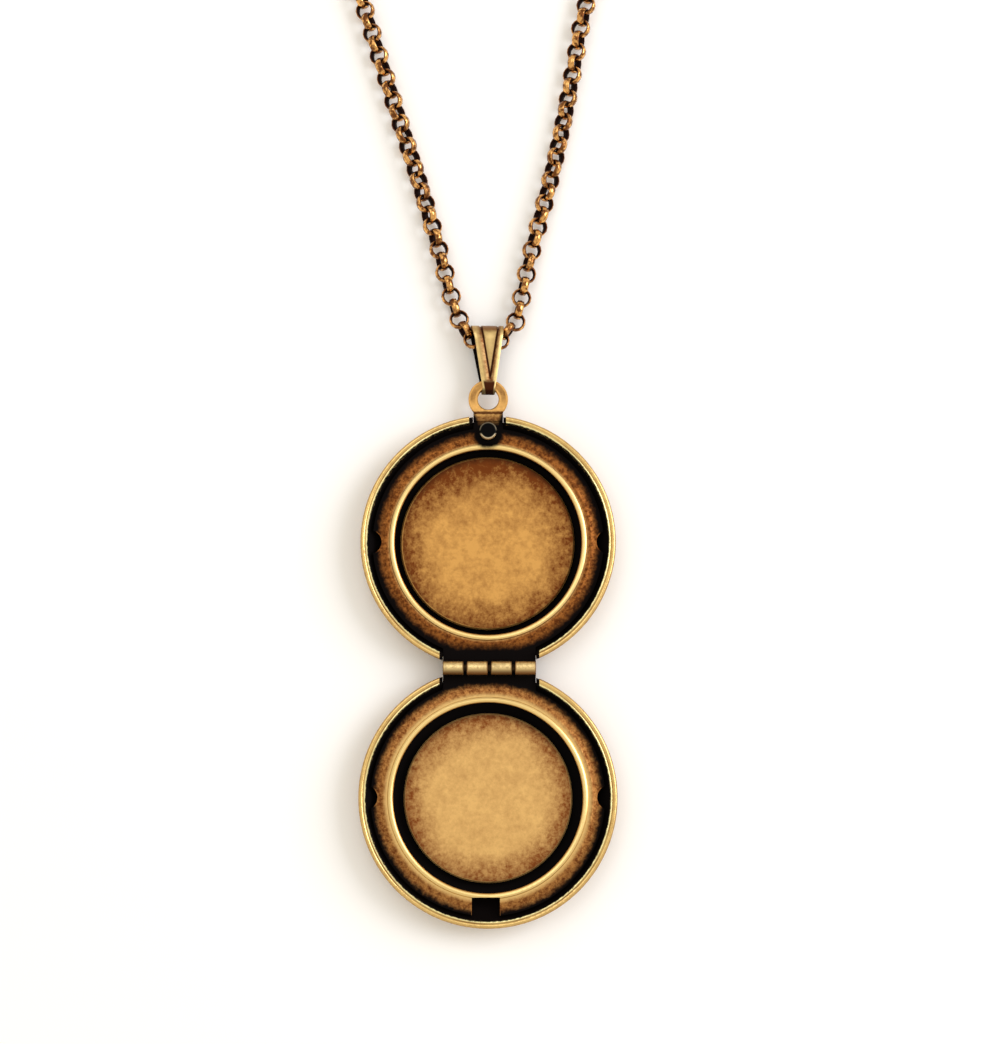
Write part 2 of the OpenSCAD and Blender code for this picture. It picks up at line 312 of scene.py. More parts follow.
def make_round_place() -> bpy.types.NodeTree:
    """Builds the group that gives a point's place about an upright axis, in millimetres.

    Returns:
        The group, with the outputs Point, Radius, X, Y and Height.
    """
    graph, given, result = new_group(
        "Round place", [("Middle", "Vector", (0.0, 0.0, 0.0))],
        [("Point", "Vector"), ("Radius", "Float"), ("X", "Float"), ("Y", "Float"),
         ("Height", "Float")])
    place = graph.node("TexCoord").outputs["Object"]
    scaled = graph.node("VectorMath", {"operation": "SCALE"}, {0: place, "Scale": 1 / MM})
    moved = graph.node("VectorMath", {"operation": "SUBTRACT"},
                       {0: scaled.outputs[0], 1: given.outputs["Middle"]}).outputs[0]
    parts = graph.node("SeparateXYZ", inputs={0: moved})
    flat = graph.node("CombineXYZ", inputs={0: parts.outputs[0], 1: parts.outputs[1]})
    length = graph.node("VectorMath", {"operation": "LENGTH"}, {0: flat.outputs[0]})
    graph.feed(result.inputs["Point"], moved)
    graph.feed(result.inputs["Radius"], length.outputs["Value"])
    graph.feed(result.inputs["X"], parts.outputs[0])
    graph.feed(result.inputs["Y"], parts.outputs[1])
    graph.feed(result.inputs["Height"], parts.outputs[2])
    return graph.tree


def make_mottle() -> bpy.types.NodeTree:
    """Builds the group of the patchy patina that an antiqued brass keeps.

    Returns:
        The group, with the masks Broad, Fine and Specks.
    """
    graph, given, result = new_group(
        "Mottle", [("Point", "Vector", (0.0, 0.0, 0.0)), ("Grain", "Float", 1.0),
                   ("Seed", "Float", 0.0)],
        [("Broad", "Float"), ("Fine", "Float"), ("Specks", "Float")])
    grown = graph.node("VectorMath", {"operation": "SCALE"},
                       {0: given.outputs["Point"], "Scale": given.outputs["Grain"]}).outputs[0]

    def layer(scale: float, detail: float, low: float, high: float) -> Socket:
        """One layer of noise with its contrast raised."""
        return graph.step(graph.noise(grown, scale, detail, 0.7, given.outputs["Seed"]), low, high)

    graph.feed(result.inputs["Broad"], layer(0.16, 3.0, 0.3, 0.7))
    graph.feed(result.inputs["Fine"], layer(1.9, 5.0, 0.34, 0.66))
    graph.feed(result.inputs["Specks"], layer(4.2, 3.0, 0.52, 0.68))
    return graph.tree


def make_antique() -> bpy.types.NodeTree:
    """Builds the group that lays brown film and black patina, and the painted shade carried with them,
    over gold.

    Returns:
        The group, with Color, Metallic and Roughness.
    """
    graph, given, result = new_group(
        "Antique metal",
        [("Gold", "Color", (0.7, 0.5, 0.25, 1.0)), ("Tarnish", "Color", (0.3, 0.15, 0.05, 1.0)),
         ("Tarnish Share", "Float", 0.0), ("Patina", "Color", (0.01, 0.006, 0.005, 1.0)),
         ("Patina Share", "Float", 0.0), ("Shine", "Float", 0.3), ("Dullness", "Float", 0.6)],
        [("Color", "Color"), ("Metallic", "Float"), ("Roughness", "Float")])
    tarnished = graph.mix(given.outputs["Tarnish Share"], given.outputs["Gold"],
                          given.outputs["Tarnish"])
    covered = graph.mix(given.outputs["Patina Share"], tarnished, given.outputs["Patina"])
    dull = graph.highest(given.outputs["Patina Share"],
                         graph.product(given.outputs["Tarnish Share"], 0.5))
    graph.feed(result.inputs["Color"], covered)
    graph.feed(result.inputs["Metallic"], graph.blend(given.outputs["Patina Share"], 1.0, 0.0))
    graph.feed(result.inputs["Roughness"],
               graph.blend(dull, given.outputs["Shine"], given.outputs["Dullness"]))
    return graph.tree


def make_tumbled() -> bpy.types.NodeTree:
    """Builds the group of the small dents and scratches that tumbling leaves.

    Returns:
        The group, with the output Height.
    """
    graph, given, result = new_group(
        "Tumbled surface", [("Point", "Vector", (0.0, 0.0, 0.0)), ("Seed", "Float", 0.0)],
        [("Height", "Float")])

    def dents(scale: float, detail: float) -> Socket:
        """One layer of dents."""
        return graph.noise(given.outputs["Point"], scale, detail, shift=given.outputs["Seed"])

    total = graph.plus(dents(1.1, 2.0), graph.product(dents(6.0, 3.0), 0.3))
    graph.feed(result.inputs["Height"], total)
    return graph.tree


@dataclass
class SharedEffects:
    """The node groups that all the finishes place."""

    round_place: bpy.types.NodeTree = field(default_factory=make_round_place)
    mottle: bpy.types.NodeTree = field(default_factory=make_mottle)
    antique: bpy.types.NodeTree = field(default_factory=make_antique)
    tumbled: bpy.types.NodeTree = field(default_factory=make_tumbled)


@dataclass
class Place:
    """What a finish reads to know where on its piece it is, in millimetres.

    Attributes:
        graph: The material's graph.
        point: The place from the middle of the piece's round shape.
        radius: Distance from the upright axis through that middle.
        x: Distance from the middle along X.
        y: Distance from the middle along Y.
        height: Height over the table.
        broad: Wide patches of patina.
        fine: Small patches of patina.
        specks: Separate dark specks.
    """

    graph: Graph
    point: Socket
    radius: Socket
    x: Socket
    y: Socket
    height: Socket
    broad: Socket
    fine: Socket
    specks: Socket

    def ragged(self, value: Value, reach: float, scale: float = 2.2, shift: float = 4.0) -> Socket:
        """Moves a value about by noise, so that a border drawn with it is ragged.

        Args:
            value: The value.
            reach: How far the border wanders.
            scale: Patches in a millimetre.
            shift: Which of the patterns is taken.

        Returns:
            The wandering value.
        """
        graph = self.graph
        noise = graph.noise(self.point, scale, 4.0, 0.7, shift)
        return graph.plus(value, graph.product(graph.minus(noise, 0.5), 2 * reach))

    def by_fine(self, share: Band) -> Socket:
        """A share that the small patches move between two values."""
        return self.graph.blend(self.fine, *share)

    def by_broad(self, share: Band) -> Socket:
        """A share that the wide patches move between two values."""
        return self.graph.blend(self.broad, *share)

    def distance(self, across: float, along: float) -> Socket:
        """Distance from an upright line.

        Args:
            across: X of the line.
            along: Y of the line.

        Returns:
            The distance.
        """
        graph = self.graph
        dx, dy = graph.minus(self.x, across), graph.minus(self.y, along)
        return graph.math("SQRT", graph.plus(graph.product(dx, dx), graph.product(dy, dy)))


# The gold's colour, with a painted highlight in places; the share of the brown film and the share of
# the black patina, each with painted shade in places.
Shading = tuple[Value, Value, Value]
Zones = Callable[[Place], Shading]


@dataclass(frozen=True)
class AntiqueFinish:
    """Antiqued brass: polished where it is rubbed, brown and black in its hollows.

    Attributes:
        name: Name of the material.
        tarnish: Colour of the thin brown film, and of the painted shade laid with it.
        patina: Colour of the black in the hollows, and of the painted shade laid with it.
        shine: Roughness of the bright metal.
        dullness: Roughness of the patina.
        grain: How fine the mottling is.
        dents: Strength of the bumps.
        dent_depth: Depth of the bumps in millimetres at full strength.
        film_gloss: How strongly the black film reflects.
        seed: Which of the patterns is taken.
    """

    name: str
    tarnish: Colour
    patina: Colour = paint(8, 4, 3)
    shine: float = 0.3
    dullness: float = 0.6
    grain: float = 1.0
    dents: float = 0.25
    dent_depth: float = 0.03
    film_gloss: float = 0.04
    seed: float = 0.0

    def material(self, effects: SharedEffects, zones: Zones,
                 middle: Point = (0.0, 0.0, 0.0)) -> bpy.types.Material:
        """Builds the material.

        Args:
            effects: The shared node groups.
            zones: Gives the shading of each place.
            middle: Middle of the piece's round shape in millimetres.

        Returns:
            The material.
        """
        made = bpy.data.materials.new(self.name)
        made.use_nodes = True
        graph = Graph(made.node_tree)
        shader = made.node_tree.nodes["Principled BSDF"]
        where = graph.node("Group", {"node_tree": effects.round_place}, {"Middle": middle})
        mottle = graph.node("Group", {"node_tree": effects.mottle}, {
            "Point": where.outputs["Point"], "Grain": self.grain, "Seed": self.seed})
        place = Place(graph, *(where.outputs[name] for name in
                               ("Point", "Radius", "X", "Y", "Height")),
                      *(mottle.outputs[name] for name in ("Broad", "Fine", "Specks")))
        gold, tarnish, patina = zones(place)
        metal = graph.node("Group", {"node_tree": effects.antique}, {
            "Gold": gold, "Tarnish": self.tarnish, "Tarnish Share": tarnish,
            "Patina": self.patina, "Patina Share": patina, "Shine": self.shine,
            "Dullness": self.dullness})
        tumbled = graph.node("Group", {"node_tree": effects.tumbled},
                             {"Point": place.point, "Seed": self.seed})
        bump = graph.node("Bump", inputs={"Strength": self.dents, "Distance": self.dent_depth * MM,
                                          "Height": tumbled.outputs["Height"]})
        for socket in ("Metallic", "Roughness"):
            graph.feed(shader.inputs[socket], metal.outputs[socket])
        shader.inputs["Specular IOR Level"].default_value = self.film_gloss
        graph.feed(shader.inputs["Base Color"], metal.outputs["Color"])
        graph.feed(shader.inputs["Normal"], bump.outputs[0])
        return made


def wear(piece: Piece, material: bpy.types.Material) -> None:
    """Gives a piece its one material.

    Args:
        piece: The piece.
        material: The material.
    """
    piece.data.materials.clear()
    piece.data.materials.append(material)
    LOG.info("%s wears %s", piece.name, material.name)


class Bench:
    """Blender's edit tools, used on one new piece at a time in millimetres."""

    @staticmethod
    def clear() -> None:
        """Deselects everything."""
        if bpy.context.object and bpy.context.object.mode != "OBJECT":
            bpy.ops.object.mode_set(mode="OBJECT")
        bpy.ops.object.select_all(action="DESELECT")

    @staticmethod
    def pick(piece: Piece, kind: Pick, test: Callable[[MeshItem], bool]) -> None:
        """Selects the points or faces that pass a test, and nothing else, and stays in edit mode.

        Args:
            piece: The piece, which is the active object.
            kind: Whether points or faces are selected.
            test: Tells whether a point or face is selected.
        """
        bpy.ops.object.mode_set(mode="EDIT")
        bpy.ops.mesh.select_mode(type=kind.value)
        bpy.ops.mesh.select_all(action="DESELECT")
        bpy.ops.object.mode_set(mode="OBJECT")
        for item in piece.data.vertices if kind is Pick.POINTS else piece.data.polygons:
            item.select = test(item)
        bpy.ops.object.mode_set(mode="EDIT")

    @staticmethod
    def modify(piece: Piece, kind: str, **settings: object) -> None:
        """Adds a modifier and applies it.

        Args:
            piece: The piece, which is the active object.
            kind: Type of the modifier.
            settings: Its settings.
        """
        bpy.ops.object.mode_set(mode="OBJECT")
        modifier = piece.modifiers.new(kind.title(), kind)
        for name, setting in settings.items():
            setattr(modifier, name, setting)
        bpy.ops.object.modifier_apply(modifier=modifier.name)

    @staticmethod
    def to_metres(piece: Piece) -> None:
        """Shrinks a piece that was made in millimetres, and applies its place and size.

        Args:
            piece: The piece, which is the active object.
        """
        bpy.ops.object.mode_set(mode="OBJECT")
        piece.matrix_world = Matrix.Scale(MM, 4) @ piece.matrix_world
        bpy.ops.object.transform_apply(location=True, rotation=True, scale=True)


@dataclass(frozen=True)
class HalfLook:
    """What differs between the finishes of the two halves.

    Attributes:
        prefix: Start of the half's node names.
        plate_tarnish: Colour of the brown film on the plate, and of the painted shade on the knuckles.
        flange_gold: Colour of the flange where that film is thin.
        speckle: Least share of that film on the flange.
        spots: Share of the black specks on the flange.
        browns: Radii where the flange starts to brown outside the bead and is brown.
        blackens: Radii where the flange starts to blacken and is black.
        tab_black: Distances from the middle where the hinge tab starts to blacken and is black, with
            patina and painted shade.
        notches: X of the middles of the two notches.
        disc_gold: Colour of the disc where it is bright.
        disc_tarnish: Colour of the disc's brown film.
        disc_edge: Radius of the disc.
        disc_clear: Share of that radius inside which the disc is bright.
        upper_brown: How much browner the disc is towards the loop.
        disc_mottle: Strength of the disc's clouds.
        disc_ring: Share of brown on the ring just inside the disc's edge.
        seed: Which of the patterns is taken.
    """

    prefix: str
    plate_tarnish: Colour
    flange_gold: Colour
    speckle: float
    spots: float
    browns: Band
    blackens: Band
    # Patina and painted shade on the hinge tab.
    tab_black: Band
    notches: Pair
    disc_gold: Colour
    disc_tarnish: Colour
    disc_edge: float
    disc_clear: float
    upper_brown: float
    disc_mottle: float
    disc_ring: float
    seed: float


LOOKS = {
    Half.BACK: HalfLook(
        prefix="back", plate_tarnish=paint(86, 42, 17), flange_gold=paint(196, 124, 58),
        speckle=0.38, spots=0.55, browns=(12.28, 12.85), blackens=(13.2, 14.25),
        tab_black=(12.5, 13.8), notches=(-14.96, 15.2), disc_gold=paint(212, 158, 84),
        disc_tarnish=paint(110, 56, 22), disc_edge=11.05, disc_clear=0.55, upper_brown=0.34,
        disc_mottle=0.55, disc_ring=0.0, seed=1.0),
    Half.FRONT: HalfLook(
        prefix="front", plate_tarnish=paint(110, 58, 25), flange_gold=paint(208, 148, 80),
        speckle=0.3, spots=0.45, browns=(12.5, 13.3), blackens=(13.5, 14.4),
        tab_black=(13.3, 14.3), notches=(-15.25, 15.1), disc_gold=paint(230, 184, 112),
        disc_tarnish=paint(130, 70, 30), disc_edge=10.55, disc_clear=0.62, upper_brown=0.05,
        disc_mottle=0.32, disc_ring=0.75, seed=2.0),
}


@dataclass
class HalfPiece:
    """A piece of one half of the case, which keeps its solid's shape.

    Attributes:
        half: The half that it belongs to.
        effects: The shared node groups.
    """

    half: Half
    effects: SharedEffects

    @property
    def look(self) -> HalfLook:
        """The half's own numbers."""
        return LOOKS[self.half]

    def solid(self, part: str) -> Piece:
        """The half's solid whose name ends so."""
        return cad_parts[f"{self.look.prefix}_{part}"]

    def to_hinge(self, place: Place) -> Socket:
        """Distance from the half's middle towards the hinge."""
        return place.graph.product(place.y, -self.half.outward)


@dataclass
class Cover(HalfPiece):
    """The domed cover: bright rolled rim, black hollow inside, softly browned outside.

    Attributes:
        gold: Colour of the rubbed metal.
        lobe_gold_and_highlight: Colour of the rim's inner lobe, rubbed gold with a painted highlight
            along its brightest line.
        tarnish: Colour of the brown film.
        film: Share of the film anywhere.
        outside_z: Where the outer face begins.
        outside_film: Share of the film there.
        rim_outer: Radius of the rim's outer edge.
        flank_reach: Where the rim's flank begins, from that edge.
        flank_film: Share of the film there.
        rim_line: Radius of the dark line along the rim.
        line_edge: Its soft edge, from its middle.
        line_z: Where the line begins.
        line_film: Share of the film there.
        lobe_reach: Where the lobe begins, from the line.
        lobe_z: Where the lobe begins.
        flat_r: Radius of the dome's flat middle.
        sheet_z: Height of the middle of the sheet there.
        sheet_rise: Its rise outside, by the square of the distance.
        sheet_edge: Where the inside begins, from the middle of the sheet.
        rim_inner: Radius of the rim's inner edge.
        black_reach: Where the inside's black begins, from that edge.
        black_wander: How far that border wanders.
        cut_top: Where the black of the cut edges at the rim's gaps ends above.
        cut_low: Where it begins below.
        cut_from: Where the gaps begin, from the half's middle.
        gap_edge: Where a gap's black begins, from its side.
        hinge_gap: X of the middle and half the width of the gap at the hinge.
        loop_gap: The same at the loop.
        figure_z: Where the engraved figure's black begins.
        figure_end: Where it ends above.
        figure_r: Where it ends outside.
        rings: Radii of the engraved rings.
        ring_edge: Their soft edge, from the middle of the line.
        ring_z: Where the rings end above.
    """

    gold: Colour = paint(236, 198, 124)
    # Rubbed gold with a painted highlight on the rim's inner lobe.
    lobe_gold_and_highlight: Colour = paint(255, 240, 172)
    tarnish: Colour = paint(122, 70, 28)
    film: Band = (0.05, 0.4)
    outside_z: Band = (3.35, 2.6)
    outside_film: Band = (0.35, 0.8)
    rim_outer: float = 16.1
    flank_reach: Band = (-0.26, -0.02)
    flank_film: Band = (0.45, 0.8)
    rim_line: float = 15.51
    line_edge: Band = (0.1, 0.02)
    line_z: Band = (3.5, 3.6)
    line_film: Band = (0.45, 0.95)
    lobe_reach: Band = (0.1, -0.05)
    lobe_z: Band = (3.1, 3.4)
    flat_r: float = 9.5
    sheet_z: float = 0.23
    sheet_rise: float = 0.0605
    sheet_edge: Band = (-0.05, 0.05)
    rim_inner: float = 15.34
    black_reach: Band = (0.0, -0.14)
    black_wander: float = 0.2
    cut_top: Band = (3.12, 3.02)
    cut_low: Band = (1.9, 2.0)
    cut_from: Band = (12.9, 13.0)
    gap_edge: Band = (0.05, -0.02)
    hinge_gap: Pair = (0.17, 6.25)
    loop_gap: Pair = (-0.08, 2.35)
    figure_z: Band = (0.03, 0.09)
    figure_end: Band = (0.2, 0.15)
    figure_r: Band = (8.95, 8.85)
    rings: tuple[float, ...] = (8.1, 8.7, 11.9, 12.5, 14.2)
    ring_edge: Band = (0.16, 0.1)
    ring_z: Band = (1.6, 1.5)

    def dress(self) -> None:
        """Gives the cover its finish."""
        piece = self.solid("cover")
        finish = AntiqueFinish(piece.name + " brass", tarnish=self.tarnish, shine=0.24, dents=0.35,
                               seed=self.look.seed)
        wear(piece, finish.material(self.effects, self.zones, self.half.middle))

    def zones(self, place: Place) -> Shading:
        """Shades the cover: the rim's lines by radius, the outer face by height.

        Args:
            place: A place on the cover.

        Returns:
            The shading there.
        """
        graph = place.graph
        line = graph.product(graph.line(place.radius, self.rim_line, self.line_edge),
                             graph.step(place.height, *self.line_z))
        flank = graph.edge(place.radius, self.rim_outer, self.flank_reach)
        outside = graph.step(place.height, *self.outside_z)
        brown = graph.highest(
            graph.product(place.fine, place.by_broad(self.film)),
            graph.product(outside, place.by_fine(self.outside_film)),
            graph.product(flank, place.by_fine(self.flank_film)),
            graph.product(line, place.by_broad(self.line_film)))
        # The inner lobe: rubbed gold with a painted highlight along it.
        lobe = graph.product(graph.edge(place.radius, self.rim_line, self.lobe_reach),
                             graph.step(place.height, *self.lobe_z))
        return graph.mix(lobe, self.gold, self.lobe_gold_and_highlight), brown, self.black(place)

    def black(self, place: Place) -> Socket:
        """Marks the black film: the inside, the cut edges and the engraved lines.

        Args:
            place: A place on the cover.

        Returns:
            The mask.
        """
        graph = place.graph
        beyond = graph.highest(graph.minus(place.radius, self.flat_r), 0.0)
        sheet = graph.plus(graph.product(beyond, beyond, self.sheet_rise), self.sheet_z)
        inside = graph.product(
            graph.step(graph.minus(place.height, sheet), *self.sheet_edge),
            graph.edge(place.ragged(place.radius, self.black_wander), self.rim_inner,
                       self.black_reach))
        levels = graph.product(graph.step(place.height, *self.cut_top),
                               graph.step(place.height, *self.cut_low))
        cuts = graph.product(self.gap(place, *self.hinge_gap),
                             graph.step(self.to_hinge(place), *self.cut_from))
        if self.half is Half.BACK:
            cuts = graph.highest(cuts, graph.product(self.gap(place, *self.loop_gap),
                                                     graph.step(place.y, *self.cut_from)))
            return graph.highest(inside, graph.product(levels, cuts))
        figure = graph.product(graph.step(place.height, *self.figure_z),
                               graph.step(place.radius, *self.figure_r),
                               graph.step(place.height, *self.figure_end))
        lines = graph.highest(*(graph.line(place.radius, ring, self.ring_edge)
                                for ring in self.rings))
        return graph.highest(inside, graph.product(levels, cuts), figure,
                             graph.product(lines, graph.step(place.height, *self.ring_z)))

    def gap(self, place: Place, middle: float, half_width: float) -> Socket:
        """Marks the strip in which a gap of the rim lies.

        Args:
            place: A place on the cover.
            middle: X of the gap's middle.
            half_width: Half its width.

        Returns:
            The mask.
        """
        graph = place.graph
        return graph.edge(graph.apart(place.x, middle), half_width, self.gap_edge)


@dataclass
class StampedPlate(HalfPiece):
    """The stamped plate: bright bead, mottled flange, pale knuckles, and the loop or the slot.

    Attributes:
        gold: Colour of the rubbed metal.
        bead_gold_and_highlight: Colour of the bead's top, rubbed gold with a painted highlight.
        knuckle_gold: Colour of the knuckles.
        loop_gold: Colour of the loop and its strip.
        bead_top: Height of the bead.
        bead_reach: Where its painted highlight begins, from that height.
        well: Radius of the photo well.
        well_edge: Where the well's black begins, from that radius.
        well_reach: The same, from the bead's height.
        flange_wander: How far the border between bead and flange wanders.
        soot_wander: How far the border of the flange's black wanders.
        tab_wander: How far the border of the hinge's black wanders.
        tab_x: Where that black ends beside the hinge.
        hinge: Distance from the half's middle to the hinge.
        knuckle_r: Edge of a knuckle, from the hinge.
        knuckle_low: Height of the knuckles' foot.
        knuckle_rise: Where the knuckles begin, from that height.
        knuckle_down: Where their shade begins, from the hinge downwards.
        knuckle_x: X between two of the knuckles.
        knuckle_pitch: Distance from knuckle to knuckle.
        knuckle_half: Half of a knuckle's length.
        knuckle_end: Where the shade of its end begins, from there.
        notch_r: Radius of the notches.
        notch_edge: Their worn edge, from that radius.
        notch_top: The same, from the plate's face.
        notch_in: Where that edge ends outside, from the half's middle.
        plate_top: Height of the plate's face.
        slot_x: X of the slot's middle.
        slot_in: Distance from the half's middle to the slot's inner edge.
        slot_half: Half the slot's width.
        lip_top: Where the slot's worn edge begins, from the plate's face.
        lip_side: The same beside the slot, from its side.
        lip_end: The same past the slot's inner edge.
        lip_depth: Where the worn edge beside the slot ends, from its inner edge.
        lip_x: Where it fades to the right, from the slot's middle.
        above_side: Where the worn inner edge ends, from the slot's side.
        above_end: Where it ends past the slot's inner edge.
        stud_y: Distance from the half's middle to the catch stud.
        stud_black: Edge of the black round the stud.
        stud_end: Where that black ends towards the loop.
        loop_from: Y where the loop's strip begins.
        neck_y: Y of the crease where the strip meets the ring.
        neck_reach: Where the strip's film begins, from the crease.
        crease_r: Edge of the crease.
        side_reach: Where the painted shade at the strip's sides begins, from the crease.
        side_x: The same, from the strip's middle.
        side_from: Y from which it moves out.
        side_slope: How far it moves out in each millimetre beyond that.
        foot_y: Where the black at the strip's foot begins.
        loop_y: Y of the middle of the loop's ring.
        hole_r: Radius of its hole.
        hole_reach: Where the ring's brown band begins, from the hole.
        loop_r: Radius of the ring.
        loop_reach: Where that band ends, from the ring's edge.
        band_y: Where that band begins.
    """

    gold: Colour = paint(230, 192, 122)
    # Rubbed gold with a painted highlight on the bead's top.
    bead_gold_and_highlight: Colour = paint(249, 215, 141)
    knuckle_gold: Colour = paint(250, 220, 152)
    loop_gold: Colour = paint(227, 174, 98)
    bead_top: float = 3.15
    bead_reach: Band = (-0.35, -0.05)
    well: float = 11.82
    well_edge: Band = (0.2, 0.06)
    well_reach: Band = (-0.3, -0.55)
    flange_wander: float = 0.15
    soot_wander: float = 0.42
    tab_wander: float = 0.5
    tab_x: Band = (7.6, 6.0)
    hinge: float = 16.05
    knuckle_r: Band = (1.0, 0.86)
    knuckle_low: float = 3.0
    knuckle_rise: Band = (0.0, 0.3)
    # Painted shade on the knuckles' lower side.
    knuckle_down: Band = (-0.15, 0.65)
    knuckle_x: float = 1.68
    knuckle_pitch: float = 3.02
    knuckle_half: float = 1.285
    # Painted shade at the knuckles' ends.
    knuckle_end: Band = (-0.3, 0.0)
    notch_r: float = 1.5
    notch_edge: Band = (0.14, 0.08)
    notch_top: Band = (-0.15, -0.05)
    notch_in: Band = (14.35, 13.9)
    plate_top: float = 2.6
    slot_x: float = -0.25
    slot_in: float = 12.3
    slot_half: float = 1.75
    lip_top: Band = (-0.2, -0.1)
    lip_side: Band = (0.2, 0.1)
    lip_end: Band = (0.1, 0.0)
    lip_depth: Band = (-1.6, -1.2)
    lip_x: Band = (1.0, -1.0)
    above_side: Band = (0.1, 0.0)
    above_end: Band = (0.16, 0.06)
    stud_y: float = 13.85
    stud_black: Band = (2.3, 1.6)
    stud_end: Band = (15.4, 14.9)
    loop_from: Band = (14.7, 15.0)
    neck_y: float = 16.55
    neck_reach: Band = (0.1, -0.6)
    crease_r: Band = (0.36, 0.06)
    # Painted shade at the strip's sides.
    side_reach: Band = (0.1, -0.3)
    side_x: Band = (0.75, 1.3)
    side_from: float = 14.85
    side_slope: float = 0.4
    foot_y: Band = (15.9, 15.1)
    loop_y: float = 18.34
    hole_r: float = 1.33
    hole_reach: Band = (0.15, 0.45)
    loop_r: float = 2.52
    loop_reach: Band = (-0.08, -0.35)
    band_y: Band = (17.0, 18.6)

    def dress(self) -> None:
        """Gives the plate its finish."""
        piece = self.solid("frame")
        finish = AntiqueFinish(piece.name + " brass", tarnish=self.look.plate_tarnish, shine=0.35,
                               dents=0.35, grain=1.3, seed=self.look.seed + 2.0)
        wear(piece, finish.material(self.effects, self.zones, self.half.middle))

    def zones(self, place: Place) -> Shading:
        """Shades the plate: by radius and height, then the hinge, the notches and the loop.

        Args:
            place: A place on the plate.

        Returns:
            The shading there.
        """
        graph = place.graph
        # The bead's top: rubbed gold with a painted highlight.
        gold = graph.mix(graph.edge(place.height, self.bead_top, self.bead_reach), self.gold,
                         self.bead_gold_and_highlight)
        flange = graph.step(place.ragged(place.radius, self.flange_wander), *self.look.browns)
        gold = graph.mix(flange, gold, self.look.flange_gold)
        brown = graph.product(flange, place.by_fine((self.look.speckle, 1.0)))
        black = self.blackening(place, flange)
        knuckles, shade = self.knuckle_zones(place)
        gold = graph.mix(knuckles, gold, self.knuckle_gold)
        bright = graph.highest(knuckles, self.worn_notches(place))
        if self.half is Half.BACK:
            loop, loop_brown, loop_black = self.loop_zones(place)
            gold = graph.mix(loop, gold, self.loop_gold)
            brown = graph.blend(loop, brown, loop_brown)
            black = graph.highest(
                graph.blend(loop, graph.minus(black, bright, clamp=True), loop_black),
                self.stud_ring_black(place))
        else:
            bright = graph.highest(bright, self.slot_lip(place))
            black = graph.minus(black, bright, clamp=True)
        return gold, graph.blend(knuckles, brown, shade), black

    def blackening(self, place: Place, flange: Socket) -> Socket:
        """Marks the black on the flange and inside the well, and the patina and painted shade at the
        hinge.

        Args:
            place: A place on the plate.
            flange: The flange's mask.

        Returns:
            The mask.
        """
        graph = place.graph
        outwards = place.ragged(place.ragged(place.radius, 0.4, scale=0.8, shift=7.0),
                                self.soot_wander)
        blackened = graph.highest(graph.step(outwards, *self.look.blackens),
                                  graph.product(flange, place.specks, self.look.spots))
        inside = graph.product(graph.edge(place.radius, self.well, self.well_edge),
                               graph.edge(place.height, self.bead_top, self.well_reach))
        # The hinge tab beside the knuckles: patina and painted shade.
        tab = graph.product(
            graph.step(place.ragged(self.to_hinge(place), self.tab_wander), *self.look.tab_black),
            graph.step(graph.math("ABSOLUTE", place.x), *self.tab_x))
        return graph.highest(blackened, inside, tab)

    def worn_notches(self, place: Place) -> Socket:
        """Marks the rubbed edges of the two notches.

        Args:
            place: A place on the plate.

        Returns:
            The mask.
        """
        graph = place.graph
        edges = graph.highest(*(
            graph.product(graph.edge(place.distance(x, 0.0), self.notch_r, self.notch_edge),
                          graph.edge(place.height, self.plate_top, self.notch_top))
            for x in self.look.notches))
        return graph.product(edges, graph.step(place.radius, *self.notch_in), 0.7)

    def stud_ring_black(self, place: Place) -> Socket:
        """Marks the black round the catch stud.

        Args:
            place: A place on the plate.

        Returns:
            The mask.
        """
        graph = place.graph
        off = place.ragged(place.distance(0.0, self.stud_y), 0.25)
        return graph.product(graph.step(off, *self.stud_black),
                             graph.step(place.ragged(place.y, 0.2), *self.stud_end))

    def knuckle_zones(self, place: Place) -> tuple[Socket, Socket]:
        """Marks the knuckles, the brown film on them and the painted shade on their lower side and at
        their ends.

        Args:
            place: A place on the plate.

        Returns:
            The knuckles' mask and the share of brown film and painted shade on them.
        """
        graph = place.graph
        off = graph.minus(self.to_hinge(place), self.hinge)
        knuckles = graph.product(
            graph.step(graph.math("ABSOLUTE", off), *self.knuckle_r),
            graph.edge(place.height, self.knuckle_low, self.knuckle_rise))
        # Painted shade on the knuckles' lower side and at their ends.
        down = graph.step(graph.product(off, self.half.outward), *self.knuckle_down)
        along = graph.math("PINGPONG", graph.minus(place.x, self.knuckle_x),
                           self.knuckle_pitch / 2)
        ends = graph.edge(along, self.knuckle_half, self.knuckle_end)
        return knuckles, graph.highest(graph.product(place.fine, 0.5), graph.product(down, 0.85),
                                       graph.product(ends, 0.9))

    def slot_lip(self, place: Place) -> Socket:
        """Marks the worn edge of the slot for the catch stud.

        Args:
            place: A place on the plate.

        Returns:
            The mask.
        """
        graph = place.graph
        off = graph.apart(place.x, self.slot_x)
        inner = graph.plus(self.to_hinge(place), self.slot_in)
        beside = graph.product(graph.edge(off, self.slot_half, self.lip_side),
                               graph.step(inner, *self.lip_end),
                               graph.step(inner, *self.lip_depth),
                               graph.edge(place.x, self.slot_x, self.lip_x))
        above = graph.product(graph.step(inner, *self.above_end),
                              graph.edge(off, self.slot_half, self.above_side))
        return graph.product(graph.highest(beside, above), place.ragged(0.55, 0.5),
                             graph.edge(place.height, self.plate_top, self.lip_top))

